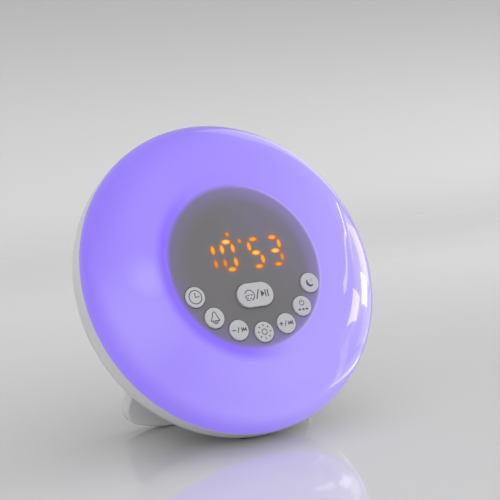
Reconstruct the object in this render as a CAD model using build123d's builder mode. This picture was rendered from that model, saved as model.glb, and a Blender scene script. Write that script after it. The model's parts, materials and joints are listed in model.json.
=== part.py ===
from build123d import *
import os
from math import cos, hypot, radians, sin

# Sunrise alarm clock: a milky front dome over a white bowl, leaning back on a fold-out
# stand. Millimetres. +Z is up, the lamp's face looks along -Y and up, and the origin is
# the middle of the box's footprint on the table.
#
# Heights along the face's own axis ("depths" below) are measured from the seam between
# the dome and the bowl: positive towards the person, negative into the bowl. On the
# face, x is to the right and v is up the leaning face.

# ---------------------------------------------------------------- driving sizes
# Whole lamp
rim_radius = 85.0
lean = 28.0                     # the face leans back from upright, degrees

# Front dome
dome_wall = 2.4
peak_radius = 60.4              # ring where the dome stands highest
peak_depth = 19.7
brow_radius = 46.4              # where the dome's inner slope meets the panel's bevel
brow_depth = 19.3
panel_radius = 44.6             # flat panel that carries the keys
panel_depth = 18.9
panel_blend = 1.5               # soft corner between bevel and panel
lip_length = 3.0                # lip that plugs into the bowl
lip_wall = 1.7

# Rear bowl
bowl_wall = 2.2
side_depth = 7.0                # straight wall behind the seam
corner_radius = 20.0
back_depth = -(side_depth + corner_radius)

# Clearances
lip_clearance = 0.15
key_clearance = 0.3             # key to panel, all round
running_clearance = 0.3         # between pieces that move past each other
pin_clearance = 0.05            # hinge pin in its bore, on the radius
seat_clearance = 0.1            # curved faces that nest inside one another
thread_clearance = 0.03

# Case screws, from behind into the dome's posts
case_screw_angle = 30.0         # above and below the level line, degrees
case_boss_radius = 4.5
case_boss_gap = 0.9             # boss to the bowl's wall
case_boss_top = -3.2
case_post_radius = 3.5
case_post_gap = 0.1
case_screw_seat = -12.0
screw_radius = 1.45
screw_length = 14.0
screw_end_room = 1.0            # hole past the screw's end
screw_head_radius = 2.8
screw_head_height = 2.0
screw_recess_width = 0.9
screw_recess_share = 0.55       # depth of the cross, as a share of the head's height
screw_round_share = 0.33        # rounding of the head, likewise
counterbore_clearance = 0.4
hole_clearance = 0.2

# Keys
key_radius = 5.45
key_circle = 37.2
key_circle_v = 1.0              # middle of the keys' circle above the panel's middle
key_pitch = 22.3                # degrees between neighbouring keys
key_top = 19.8
key_flange_reach = 0.9
key_flange_thickness = 1.2
key_travel = 0.7
key_edge = 0.5
snooze_length = 21.2
snooze_height = 12.9
snooze_v = -16.3
snooze_top = 20.2
stem_radius = 1.6

# Key board behind the panel
board_thickness = 1.6
key_board_gap = 1.3             # board to the dark tube round it
key_board_front = 10.0
key_board_posts = ((37.2, 9.0), (-37.2, 9.0), (16.0, 33.4), (-16.0, 33.4))
key_board_post_radius = 2.7
switch_size = 6.0
switch_height = 3.4
switch_collar_radius = 1.7
switch_collar_height = 0.25
board_screw_radius = 1.1
board_screw_length = 5.4
board_screw_head_radius = 2.2
board_screw_head_height = 1.4

# Display
digit_centres = (-19.9, -8.1, 8.1, 19.9)
digit_v = 6.7
digit_width = 6.4               # between the middles of the upright segments
digit_height = 14.9             # between the middles of the top and bottom segments
segment_width = 1.8
segment_gap = 0.35
colon_rise = 7.3
colon_radius = 1.0
alarm_dot = (-6.8, 18.2)
mask_length = 54.0
mask_height = 26.0
mask_corner = 2.0
mask_gap = 0.3                  # mask to the panel's back
segment_length_deep = 4.5       # how deep the light bars reach

# Light chamber
baffle_radius = 43.8            # inside of the dark tube round the display
baffle_wall = 1.5
pan_front = -5.0
pan_wall = 1.4
pan_clearance = 3.3             # pan to the bowl's wall
pan_rim_height = 3.8
pan_post_radius = 3.5
ring_board_gap = 0.9            # ring board to the case screws' bosses
ring_board_inner_gap = 2.7      # ring board to the dark tube
led_count = 24
led_size = 5.0
led_edge = 5.0                  # LEDs to the ring board's outer edge
led_height = 1.5
led_lens_radius = 1.9
led_lens_depth = 0.5

# Speaker, in the upper back
speaker_edge_gap = 7.5          # speaker to the edge of the bowl's flat back
speaker_bay_gap = 2.55          # speaker to the battery bay
speaker_flange = 1.0
speaker_gasket = 0.5
speaker_basket_depth = 8.5
speaker_basket_inset = 7.0      # basket's narrow end, in from the flange's edge
speaker_sheet = 0.8
speaker_window = 7.0
cone_inset = 3.0                # cone, in from the flange's edge
cone_throat = 6.0
cone_depth = 5.0
cone_wall = 0.5
cone_edge_gap = 0.6
magnet_height = 5.0
yoke_inset = 3.0                # yoke, in from the magnet's edge
yoke_height = 1.0
yoke_edge = 0.3
grille_pitch = 4.2
grille_rings = 3
grille_hole_radius = 1.2
speaker_post_radius = 2.6
speaker_screw_head_radius = 4.0
speaker_screw_bite = 0.7        # how far the screws reach into the bowl's wall
speaker_hole_room = 0.4         # hole past the screws' ends

# Battery bay, below the speaker
cell_radius = 5.25
cell_edge = 0.4
cell_length = 44.5
cell_nub_radius = 1.9
cell_nub_length = 0.8
cell_count = 3
cell_pitch = 10.9
bay_v = -3.0
bay_end_room = 3.4              # for the contacts at each end of the cells
bay_wall = 1.4
bay_floor_gap = 0.3
contact_sheet = 0.4
contact_size = 8.4
door_thickness = 2.0
door_clearance = 0.35
door_pin_radius = 0.7
door_pin_reach = 1.0
door_latch_width = 11.0
door_latch_reach = 1.6
door_latch_thickness = 1.2
door_latch_inset = 0.9
door_grip_count = 4
door_grip_pitch = 2.4
door_grip_height = 0.4
door_grip_width = 16.0
door_grip_thickness = 0.9

# Power board and its socket, beside the battery bay
power_board_centre = (46.5, -1.0)
power_board_size = (26.0, 34.0)
power_board_front = -17.8
power_post_radius = 2.4
power_post_inset = 3.0
socket_width = 7.6
socket_height = 2.8
socket_wall = 0.6
socket_corner = 0.9
socket_sunk = 1.1               # socket's mouth behind the bowl's outer face
socket_depth = 3.8
socket_tongue = 0.3
socket_tongue_gap = 0.6
socket_v = -6.0
socket_clearance = 0.25
capacitor_radius = 3.2
capacitor_height = 7.6
capacitor_spots = ((51.5, 8.0), (43.5, 8.0))
chip_size = (7.0, 5.0, 1.6)
chip_spot = (50.0, -2.0)

# Ribbon cable from the key board to the power board
ribbon_width = 9.0
ribbon_thickness = 1.0
ribbon_bend = 3.0
ribbon_plug_height = 4.5        # straight run above the power board
ribbon_front_x = 34.0
ribbon_rear_x = 39.5
ribbon_v = -1.0
ribbon_slot_clearance = 1.2

# Fold-out stand: a tray-shaped paddle, open and ribbed at its rear
hinge_bay_gap = 11.05           # hinge line below the battery bay
hinge_gap = 0.6                 # between the barrel and the back of the bowl
barrel_radius = 3.5
pin_radius = 1.5
lug_radius = 4.5
lug_base = 13.0
lug_foot = 0.55                 # how deep the lugs' feet reach into the bowl's wall
lug_width = 6.0
lug_inner_x = 22.0
stand_back_angle = 1.0          # the stand's foot trails its hinge, degrees
stand_thickness = 7.0
stand_wall = 2.4
stand_neck_drop = 9.0
stand_shoulder = 52.4           # half widths
stand_foot = 60.4
stand_flat = 28.0               # straight part of the foot, from its middle
stand_foot_rise = 7.4           # how far the foot's edge curves up at its corners
stand_foot_corner = 9.0
stand_shoulder_corner = 7.0
stand_edge = 1.6                # rounding at the front, twice the rear's
stand_rib_pitch = 22.0
stand_rib_count = 5
stand_rib = 1.6
heel_length = 5.0
heel_width = 24.0
stop_gap = 0.3

# Rubber feet
pad_proud = 0.4
pad_seat = 1.0
bowl_pad_length = 20.0
bowl_pad_width = 6.0
stand_pad_length = 52.0
stand_pad_width = 3.6

# ---------------------------------------------------------------- places
lean_sin = sin(radians(lean))
lean_cos = cos(radians(lean))
corner_centre = rim_radius - corner_radius
dome_side = rim_radius - peak_radius
front_reach = peak_radius * lean_sin + hypot(dome_side * lean_sin, peak_depth * lean_cos)
back_reach = corner_centre * lean_sin + side_depth * lean_cos + corner_radius
drop = corner_centre * lean_cos + side_depth * lean_sin + corner_radius
rim_y = (front_reach - back_reach) / 2
rim_z = drop + pad_proud

face = Plane(origin=(0, rim_y, rim_z), x_dir=(1, 0, 0), z_dir=(0, -lean_cos, lean_sin))
face_axis = Axis(face.origin, face.z_dir)
section = Plane(origin=face.origin, x_dir=face.x_dir, z_dir=-face.y_dir)   # (radius, depth)
side = Plane(origin=face.origin, x_dir=face.y_dir, z_dir=face.x_dir)       # (v, depth)

panel_back = panel_depth - dome_wall
inner_back = back_depth + bowl_wall
lip_radius = rim_radius - bowl_wall - lip_clearance
case_screw_circle = rim_radius - bowl_wall - case_boss_gap - case_boss_radius
key_board_radius = baffle_radius - key_board_gap
key_board_back = key_board_front - board_thickness
pan_back = pan_front - pan_wall
pan_radius = rim_radius - bowl_wall - pan_clearance
ring_board_outer = case_screw_circle - case_boss_radius - ring_board_gap
ring_board_inner = baffle_radius + baffle_wall + ring_board_inner_gap
led_circle = ring_board_outer - led_edge - led_size / 2
pan_screw_circle = (ring_board_inner + led_circle - led_size / 2) / 2
bay_length = cell_length + 2 * bay_end_room
bay_height = cell_count * cell_pitch + cell_pitch - 2 * cell_radius
bay_reach = bay_height / 2 + bay_wall
speaker_room = corner_centre - speaker_edge_gap - (bay_v + bay_reach + speaker_bay_gap)
speaker_radius = speaker_room / 2
speaker_v = corner_centre - speaker_edge_gap - speaker_radius
speaker_basket_radius = speaker_radius - speaker_basket_inset
cone_radius = speaker_radius - cone_inset
magnet_radius = speaker_basket_radius
yoke_radius = magnet_radius - yoke_inset
hinge_v = bay_v - bay_reach - hinge_bay_gap
power_board_back = power_board_front - board_thickness
speaker_seat = inner_back + speaker_gasket
basket_top = speaker_seat + speaker_basket_depth
speaker_post_circle = speaker_radius + speaker_post_radius + seat_clearance
speaker_screw_reach = speaker_flange + speaker_gasket + speaker_screw_bite
cell_depth = back_depth + door_thickness + bay_floor_gap + cell_radius
bay_floor = cell_depth + cell_radius + bay_floor_gap
door_axis_v = bay_v - bay_height / 2 + door_clearance + door_thickness / 2
door_axis_depth = back_depth + door_thickness / 2
hinge_depth = back_depth - hinge_gap - barrel_radius
hinge = side.from_local_coords((hinge_v, hinge_depth))

ring_key_names = ["time_key", "alarm_key", "minus_key", "light_key", "plus_key",
                  "power_key", "sleep_key"]
first_key_angle = -90 - key_pitch * (len(ring_key_names) - 1) / 2
key_angles = [first_key_angle + key_pitch * i for i in range(len(ring_key_names))]
key_spots = [(key_circle * cos(radians(a)), key_circle_v + key_circle * sin(radians(a)))
             for a in key_angles]

os.makedirs("parts", exist_ok=True)


def level(depth):
    """Plane parallel to the face at a depth from the seam."""
    return face.offset(depth)


def save(piece, name):
    """Label a finished piece and write it as one STEP file."""
    piece.part.label = name
    export_step(piece.part, f"parts/{name}.step")


# ---------------------------------------------------------------- shared solids
def bowl(inset):
    """The bowl's outer form, filled, with its surface moved in by inset."""
    with BuildPart() as solid:
        with BuildSketch(section):
            with BuildLine():
                radius = corner_radius - inset
                floor = Line((0, back_depth + inset), (corner_centre, back_depth + inset))
                corner = CenterArc((corner_centre, -side_depth), radius, 270, 90)
                wall = Line(corner @ 1, (rim_radius - inset, 0))
                Polyline(wall @ 1, (0, 0), floor @ 0)
            make_face()
        revolve(axis=face_axis)
    return solid.part


def dome(inset, lip):
    """The dome's outer form, filled, moved in by inset, on a lip of the given radius."""
    with BuildPart() as solid:
        with BuildSketch(section):
            with BuildLine():
                reach = dome_side - inset
                height = peak_depth - inset
                flank = EllipticalCenterArc((peak_radius, 0), reach, height, arc_size=90)
                brow = TangentArc(flank @ 1, (brow_radius, brow_depth - inset), tangent=(-1, 0))
                middle = (0, panel_depth - inset)
                FilletPolyline(brow @ 1, (panel_radius, panel_depth - inset), middle,
                               radius=panel_blend)
                Polyline(middle, (0, -lip_length), (lip, -lip_length), (lip, 0), flank @ 0)
            make_face()
        revolve(axis=face_axis)
    return solid.part


full_bowl = bowl(0)
hollow_bowl = bowl(bowl_wall)
pad_seat_bowl = bowl(pad_seat)
pad_top_bowl = bowl(pad_seat - seat_clearance)
full_dome = dome(0, lip_radius)
hollow_dome = dome(dome_wall, lip_radius - lip_wall)

# Lowest line of the bowl, where the front foot sits
bowl_foot_y = rim_y - corner_centre * lean_sin + side_depth * lean_cos
bowl_foot = Plane(origin=(0, bowl_foot_y, 0))


# ---------------------------------------------------------------- rear bowl
def case_screw_places():
    """The four case screws, level with one another in pairs."""
    across = case_screw_circle * cos(radians(case_screw_angle))
    up = case_screw_circle * sin(radians(case_screw_angle))
    return GridLocations(2 * across, 2 * up, 2, 2)


def pan_screw_places():
    """The four screws of the pan, between the dark tube and the LEDs."""
    return PolarLocations(pan_screw_circle, 4, start_angle=45)


def speaker_screw_places():
    """Three screws round the speaker's flange."""
    spots = [(speaker_post_circle * cos(radians(a)),
              speaker_v + speaker_post_circle * sin(radians(a))) for a in (90, 210, 330)]
    return Locations(*spots)


def power_post_places():
    """Two posts at opposite corners of the power board."""
    reach_x = power_board_size[0] / 2 - power_post_inset
    reach_v = power_board_size[1] / 2 - power_post_inset
    middle_x, middle_v = power_board_centre
    return Locations((middle_x - reach_x, middle_v + reach_v),
                     (middle_x + reach_x, middle_v - reach_v))


with BuildPart() as rear_bowl:
    add(full_bowl)
    add(hollow_bowl, mode=Mode.SUBTRACT)
    # Bosses for the case screws, posts for the pan, the power board and the speaker
    with BuildSketch(level(case_boss_top)):
        with case_screw_places():
            Circle(case_boss_radius)
    extrude(amount=back_depth)
    with BuildSketch(level(pan_back)):
        with pan_screw_places():
            Circle(pan_post_radius)
    extrude(amount=back_depth)
    with BuildSketch(level(power_board_back)):
        with power_post_places():
            Circle(power_post_radius)
    extrude(amount=inner_back - power_board_back)
    with BuildSketch(level(speaker_seat + speaker_flange)):
        with speaker_screw_places():
            Circle(speaker_post_radius)
    extrude(amount=-(speaker_flange + speaker_gasket))
    # Battery bay: a box open towards the back
    with BuildSketch(level(bay_floor + bay_wall)):
        with Locations((0, bay_v)):
            Rectangle(bay_length + 2 * bay_wall, bay_height + 2 * bay_wall)
    extrude(amount=back_depth - bay_floor)
    add(full_bowl, mode=Mode.INTERSECT)
    with BuildSketch(level(bay_floor)):
        with Locations((0, bay_v)):
            Rectangle(bay_length, bay_height)
    extrude(amount=back_depth - bay_floor, mode=Mode.SUBTRACT)
    # Blind holes that take the battery door's two pins
    for end in (-1, 1):
        with BuildSketch(side.offset(end * bay_length / 2)):
            with Locations((door_axis_v, door_axis_depth)):
                Circle(door_pin_radius + running_clearance / 2)
        extrude(amount=end * (door_pin_reach + running_clearance), mode=Mode.SUBTRACT)
    # Screw holes
    with BuildSketch(level(case_screw_seat)):
        with case_screw_places():
            Circle(screw_head_radius + counterbore_clearance)
    extrude(amount=back_depth, mode=Mode.SUBTRACT)
    with BuildSketch(level(case_boss_top)):
        with case_screw_places():
            Circle(screw_radius + hole_clearance)
    extrude(amount=back_depth, mode=Mode.SUBTRACT)
    with BuildSketch(level(pan_back)):
        with pan_screw_places():
            Circle(board_screw_radius + thread_clearance)
    extrude(amount=-board_screw_length - screw_end_room, mode=Mode.SUBTRACT)
    with BuildSketch(level(power_board_back)):
        with power_post_places():
            Circle(board_screw_radius + thread_clearance)
    extrude(amount=-board_screw_length + board_thickness, mode=Mode.SUBTRACT)
    with BuildSketch(level(speaker_seat + speaker_flange)):
        with speaker_screw_places():
            Circle(board_screw_radius + thread_clearance)
    extrude(amount=-(speaker_screw_reach + speaker_hole_room), mode=Mode.SUBTRACT)
    # Speaker grille: rings of round holes
    with BuildSketch(level(inner_back)):
        with Locations((0, speaker_v)):
            Circle(grille_hole_radius)
            for ring in range(1, grille_rings + 1):
                with PolarLocations(ring * grille_pitch, 6 * ring):
                    Circle(grille_hole_radius)
    extrude(amount=-bowl_wall, mode=Mode.SUBTRACT)
    # Opening for the power socket
    with BuildSketch(level(inner_back)):
        with Locations((power_board_centre[0], socket_v)):
            RectangleRounded(socket_width + 2 * socket_clearance,
                             socket_height + 2 * socket_clearance, socket_height / 2)
    extrude(amount=-bowl_wall, mode=Mode.SUBTRACT)
    # Hinge lugs for the stand
    for end in (-1, 1):
        with BuildSketch(side.offset(end * lug_inner_x)):
            with Locations((hinge_v, hinge_depth)):
                Circle(lug_radius)
            with Locations((hinge_v, back_depth)):
                Rectangle(lug_base, 2 * lug_foot)
            make_hull()
        extrude(amount=end * lug_width)
    with BuildSketch(side):
        with Locations((hinge_v, hinge_depth)):
            Circle(pin_radius + thread_clearance)
    extrude(amount=lug_inner_x + lug_width, both=True, mode=Mode.SUBTRACT)
    # Seat of the rubber foot
    with BuildSketch(bowl_foot):
        SlotOverall(bowl_pad_length, bowl_pad_width)
    seat_cut = extrude(amount=corner_radius / 2, mode=Mode.PRIVATE)
    add(seat_cut - pad_seat_bowl, mode=Mode.SUBTRACT)
save(rear_bowl, "rear_bowl")

# ---------------------------------------------------------------- front dome
with BuildPart() as front_dome:
    add(full_dome)
    add(hollow_dome, mode=Mode.SUBTRACT)
    with BuildSketch(level(case_boss_top + case_post_gap)):
        with case_screw_places():
            Circle(case_post_radius)
    extrude(amount=peak_depth)
    with BuildSketch(level(key_board_front)):
        with Locations(*key_board_posts):
            Circle(key_board_post_radius)
    extrude(amount=panel_back - key_board_front)
    add(full_dome, mode=Mode.INTERSECT)
    with BuildSketch(level(case_boss_top + case_post_gap)):
        with case_screw_places():
            Circle(screw_radius + thread_clearance)
    extrude(amount=screw_length - (case_boss_top - case_screw_seat) + screw_end_room,
            mode=Mode.SUBTRACT)
    with BuildSketch(level(key_board_front)):
        with Locations(*key_board_posts):
            Circle(board_screw_radius + thread_clearance)
    extrude(amount=board_screw_length, mode=Mode.SUBTRACT)
    # Holes for the keys
    with BuildSketch(level(panel_back)):
        with Locations(*key_spots):
            Circle(key_radius + key_clearance)
        with Locations((0, snooze_v)):
            SlotOverall(snooze_length + 2 * key_clearance, snooze_height + 2 * key_clearance)
    extrude(amount=2 * dome_wall, mode=Mode.SUBTRACT)
save(front_dome, "front_dome")

# ---------------------------------------------------------------- keys
flange_top = panel_back - running_clearance / 3
stem_end = key_board_front + switch_height + switch_collar_height + key_travel + running_clearance

for name, spot in zip(ring_key_names, key_spots):
    with BuildPart() as key:
        with BuildSketch(level(flange_top)):
            with Locations(spot):
                Circle(key_radius + key_flange_reach)
        extrude(amount=-key_flange_thickness)
        with BuildSketch(level(flange_top)):
            with Locations(spot):
                Circle(key_radius)
        extrude(amount=key_top - flange_top)
        fillet(key.faces().sort_by(face_axis)[-1].edges(), key_edge)
        with BuildSketch(level(stem_end)):
            with Locations(spot):
                Circle(stem_radius)
        extrude(amount=flange_top - stem_end)
    save(key, name)

with BuildPart() as snooze_key:
    with BuildSketch(level(flange_top)):
        with Locations((0, snooze_v)):
            SlotOverall(snooze_length + 2 * key_flange_reach,
                        snooze_height + 2 * key_flange_reach)
    extrude(amount=-key_flange_thickness)
    with BuildSketch(level(flange_top)):
        with Locations((0, snooze_v)):
            SlotOverall(snooze_length, snooze_height)
    extrude(amount=snooze_top - flange_top)
    fillet(snooze_key.faces().sort_by(face_axis)[-1].edges(), key_edge)
    with BuildSketch(level(stem_end)):
        with Locations((0, snooze_v)):
            Circle(stem_radius)
    extrude(amount=flange_top - stem_end)
save(snooze_key, "snooze_key")

# ---------------------------------------------------------------- key board
ribbon_spot = (ribbon_front_x, ribbon_v)

with BuildPart() as key_board:
    with BuildSketch(level(key_board_front)):
        Circle(key_board_radius)
        with Locations(*key_board_posts):
            Circle(board_screw_radius + hole_clearance, mode=Mode.SUBTRACT)
    extrude(amount=-board_thickness)
save(key_board, "key_board")

with BuildPart() as key_switches:
    with BuildSketch(level(key_board_front)):
        with Locations(*key_spots, (0, snooze_v)):
            Rectangle(switch_size, switch_size)
    extrude(amount=switch_height)
    with BuildSketch(level(key_board_front + switch_height)):
        with Locations(*key_spots, (0, snooze_v)):
            Circle(switch_collar_radius)
    extrude(amount=switch_collar_height)
save(key_switches, "key_switches")

# ---------------------------------------------------------------- display
# Segments of a digit, as (x, v, upright) about the digit's middle, and the ones that
# each shown figure lights
half_width = digit_width / 2
half_height = digit_height / 2
segment_places = {
    "top": (0, half_height, False),
    "upper_left": (-half_width, half_height / 2, True),
    "upper_right": (half_width, half_height / 2, True),
    "middle": (0, 0, False),
    "lower_left": (-half_width, -half_height / 2, True),
    "lower_right": (half_width, -half_height / 2, True),
    "bottom": (0, -half_height, False),
}
shown_figures = (
    ("upper_right", "lower_right"),
    ("top", "upper_left", "upper_right", "lower_left", "lower_right", "bottom"),
    ("top", "upper_left", "middle", "lower_right", "bottom"),
    ("top", "upper_right", "middle", "lower_right", "bottom"),
)
mask_front = panel_back - mask_gap
bar_tip = segment_width / 2
colon_places = [(0, digit_v + colon_rise), (0, digit_v)]


def segment_sketch(depth, grow, wanted):
    """Bars of the wanted segments as hexagons with pointed ends, at a depth."""
    with BuildSketch(level(depth)) as bars:
        for digit_x, figure in zip(digit_centres, shown_figures):
            for name, (x, v, upright) in segment_places.items():
                if not wanted(name in figure):
                    continue
                span = half_height if upright else digit_width
                half = span / 2 - segment_gap + grow
                waist = half - bar_tip
                width = segment_width / 2 + grow
                with Locations(Location((digit_x + x, digit_v + v, 0), 90 if upright else 0)):
                    Polygon((-half, 0), (-waist, -width), (waist, -width), (half, 0),
                            (waist, width), (-waist, width), align=None)
    return bars.sketch


def is_lit(lit):
    """True for a segment that is on."""
    return lit


def is_dark(lit):
    """True for a segment that is off."""
    return not lit


def any_segment(lit):
    """True for every segment."""
    return True


with BuildPart() as display_mask:
    with BuildSketch(level(key_board_front)):
        with Locations((0, digit_v)):
            RectangleRounded(mask_length, mask_height, mask_corner)
    extrude(amount=mask_front - key_board_front)
    add(segment_sketch(mask_front, seat_clearance, any_segment))
    extrude(amount=-segment_length_deep, mode=Mode.SUBTRACT)
    with BuildSketch(level(mask_front)):
        with Locations(*colon_places, alarm_dot):
            Circle(colon_radius + seat_clearance)
    extrude(amount=-segment_length_deep, mode=Mode.SUBTRACT)
save(display_mask, "display_mask")

with BuildPart() as lit_segments:
    add(segment_sketch(mask_front, 0, is_lit))
    extrude(amount=-segment_length_deep)
    with BuildSketch(level(mask_front)):
        with Locations(*colon_places, alarm_dot):
            Circle(colon_radius)
    extrude(amount=-segment_length_deep)
save(lit_segments, "lit_segments")

with BuildPart() as dark_segments:
    add(segment_sketch(mask_front, 0, is_dark))
    extrude(amount=-segment_length_deep)
save(dark_segments, "dark_segments")

# ---------------------------------------------------------------- light chamber
with BuildPart() as light_baffle:
    with BuildSketch(level(pan_front)):
        Circle(baffle_radius + baffle_wall)
        Circle(baffle_radius, mode=Mode.SUBTRACT)
    extrude(amount=panel_back - seat_clearance - pan_front)
save(light_baffle, "light_baffle")

ribbon_slot = (ribbon_thickness + 2 * ribbon_slot_clearance,
               ribbon_width + 2 * ribbon_slot_clearance)

with BuildPart() as reflector_pan:
    with BuildSketch(level(pan_back)):
        Circle(pan_radius)
    extrude(amount=pan_wall)
    with BuildSketch(level(pan_front)):
        Circle(pan_radius)
        Circle(pan_radius - pan_wall, mode=Mode.SUBTRACT)
    extrude(amount=pan_rim_height)
    with BuildSketch(level(pan_back)):
        with case_screw_places():
            Circle(case_boss_radius + running_clearance)
        with pan_screw_places():
            Circle(board_screw_radius + hole_clearance)
        with Locations(ribbon_spot):
            Rectangle(*ribbon_slot)
    extrude(amount=pan_wall + pan_rim_height, mode=Mode.SUBTRACT)
save(reflector_pan, "reflector_pan")

with BuildPart() as led_ring_board:
    with BuildSketch(level(pan_front)):
        Circle(ring_board_outer)
        Circle(ring_board_inner, mode=Mode.SUBTRACT)
        with pan_screw_places():
            Circle(board_screw_radius + hole_clearance, mode=Mode.SUBTRACT)
    extrude(amount=board_thickness)
save(led_ring_board, "led_ring_board")

led_base = pan_front + board_thickness
with BuildPart() as colour_leds:
    with BuildSketch(level(led_base)):
        with PolarLocations(led_circle, led_count):
            Rectangle(led_size, led_size)
    extrude(amount=led_height)
    with BuildSketch(level(led_base + led_height)):
        with PolarLocations(led_circle, led_count):
            Circle(led_lens_radius)
    extrude(amount=-led_lens_depth, mode=Mode.SUBTRACT)
save(colour_leds, "colour_leds")

# ---------------------------------------------------------------- speaker
speaker_plane = Plane(origin=section.from_local_coords((0, 0)) + face.y_dir * speaker_v,
                      x_dir=section.x_dir, z_dir=section.z_dir)
speaker_axis = Axis(speaker_plane.origin, face.z_dir)

with BuildPart() as speaker_frame:
    with BuildSketch(speaker_plane):
        with BuildLine():
            Polyline((cone_radius, speaker_seat), (speaker_radius, speaker_seat),
                     (speaker_radius, speaker_seat + speaker_flange),
                     (cone_radius + speaker_sheet, speaker_seat + speaker_flange),
                     (speaker_basket_radius, basket_top), (yoke_radius, basket_top),
                     (yoke_radius, basket_top - speaker_sheet),
                     (speaker_basket_radius - speaker_sheet, basket_top - speaker_sheet),
                     (cone_radius, speaker_seat + speaker_flange), close=True)
        make_face()
    revolve(axis=speaker_axis)
    # Windows in the basket
    with BuildSketch(level(basket_top - speaker_sheet)):
        with Locations((0, speaker_v)):
            with PolarLocations((speaker_radius + speaker_basket_radius) / 2, 4):
                Rectangle(2 * speaker_window, speaker_window)
    extrude(amount=-(speaker_basket_depth - 2 * speaker_sheet - speaker_flange),
            mode=Mode.SUBTRACT)
save(speaker_frame, "speaker_frame")

with BuildPart() as speaker_cone:
    with BuildSketch(speaker_plane):
        with BuildLine():
            edge = speaker_seat + speaker_sheet
            throat = edge + cone_depth
            Polyline((cone_radius - cone_edge_gap, edge), (cone_throat, throat), (0, throat),
                     (0, throat + cone_wall), (cone_throat, throat + cone_wall),
                     (cone_radius - cone_edge_gap, edge + cone_wall), close=True)
        make_face()
    revolve(axis=speaker_axis)
save(speaker_cone, "speaker_cone")

with BuildPart() as speaker_magnet:
    with BuildSketch(level(basket_top)):
        with Locations((0, speaker_v)):
            Circle(magnet_radius)
    extrude(amount=magnet_height)
    with BuildSketch(level(basket_top + magnet_height)):
        with Locations((0, speaker_v)):
            Circle(yoke_radius)
    extrude(amount=yoke_height)
    fillet(speaker_magnet.faces().sort_by(face_axis)[-1].edges(), yoke_edge)
save(speaker_magnet, "speaker_magnet")

with BuildPart() as speaker_gasket_ring:
    with BuildSketch(level(inner_back)):
        with Locations((0, speaker_v)):
            Circle(speaker_radius)
            Circle(cone_radius, mode=Mode.SUBTRACT)
    extrude(amount=speaker_gasket)
save(speaker_gasket_ring, "speaker_gasket")


# ---------------------------------------------------------------- screws
def screws(places, seat, radius, length, head_radius, head_height, direction):
    """Cross-head screws: heads stand on the seat plane, shanks run along direction."""
    with BuildPart() as group:
        with BuildSketch(level(seat)):
            with places:
                Circle(head_radius)
        extrude(amount=-direction * head_height)
        outer = group.faces().sort_by(face_axis)
        heads = outer.group_by(face_axis)[0 if direction > 0 else -1]
        fillet(heads.edges(), head_height * screw_round_share)
        with BuildSketch(level(seat)):
            with places:
                Circle(radius)
        extrude(amount=direction * length)
        with BuildSketch(level(seat - direction * head_height)):
            with places:
                Rectangle(head_radius, screw_recess_width)
                Rectangle(screw_recess_width, head_radius)
        extrude(amount=direction * head_height * screw_recess_share, mode=Mode.SUBTRACT)
    return group


case_screws = screws(case_screw_places(), case_screw_seat, screw_radius, screw_length,
                     screw_head_radius, screw_head_height, 1)
save(case_screws, "case_screws")

pan_screws = screws(pan_screw_places(), pan_front + board_thickness, board_screw_radius,
                    board_screw_length + board_thickness, board_screw_head_radius,
                    board_screw_head_height, -1)
save(pan_screws, "pan_screws")

key_board_screws = screws(Locations(*key_board_posts), key_board_back, board_screw_radius,
                          board_screw_length, board_screw_head_radius,
                          board_screw_head_height, 1)
save(key_board_screws, "key_board_screws")

power_board_screws = screws(power_post_places(), power_board_front, board_screw_radius,
                            board_screw_length - board_thickness / 2,
                            board_screw_head_radius, board_screw_head_height, -1)
save(power_board_screws, "power_board_screws")

speaker_screws = screws(speaker_screw_places(), speaker_seat + speaker_flange,
                        board_screw_radius, speaker_screw_reach, speaker_screw_head_radius,
                        board_screw_head_height, -1)
save(speaker_screws, "speaker_screws")

# ---------------------------------------------------------------- batteries
cell_places = [(0, bay_v + cell_pitch * (i - (cell_count - 1) / 2)) for i in range(cell_count)]

with BuildPart() as battery_cells:
    with BuildSketch(side.offset(-cell_length / 2)):
        with Locations(*[(v, cell_depth) for _, v in cell_places]):
            Circle(cell_radius)
    extrude(amount=cell_length - cell_nub_length)
    fillet(battery_cells.edges().filter_by(GeomType.CIRCLE), cell_edge)
    with BuildSketch(side.offset(cell_length / 2 - cell_nub_length)):
        with Locations(*[(v, cell_depth) for _, v in cell_places]):
            Circle(cell_nub_radius)
    extrude(amount=cell_nub_length)
save(battery_cells, "battery_cells")

# Leaf contacts: a plate on the bay's end wall with a bent tongue that meets each cell
with BuildPart() as battery_contacts:
    for end in (-1, 1):
        for _, v in cell_places:
            leaf = Plane(origin=face.from_local_coords((end * bay_length / 2, v, cell_depth)),
                         x_dir=-end * face.x_dir, z_dir=face.y_dir)
            with BuildSketch(leaf.offset(-contact_size / 2)):
                with BuildLine():
                    reach = bay_end_room - contact_sheet
                    Polyline((contact_sheet / 2, -contact_size / 2),
                             (contact_sheet / 2, contact_size / 2), (reach, 0),
                             (contact_sheet * 2, -contact_size / 3))
                trace(line_width=contact_sheet)
            extrude(amount=contact_size)
save(battery_contacts, "battery_contacts")

door_length = bay_length - 2 * door_clearance
door_top_v = bay_v + bay_height / 2 - door_clearance

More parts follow.
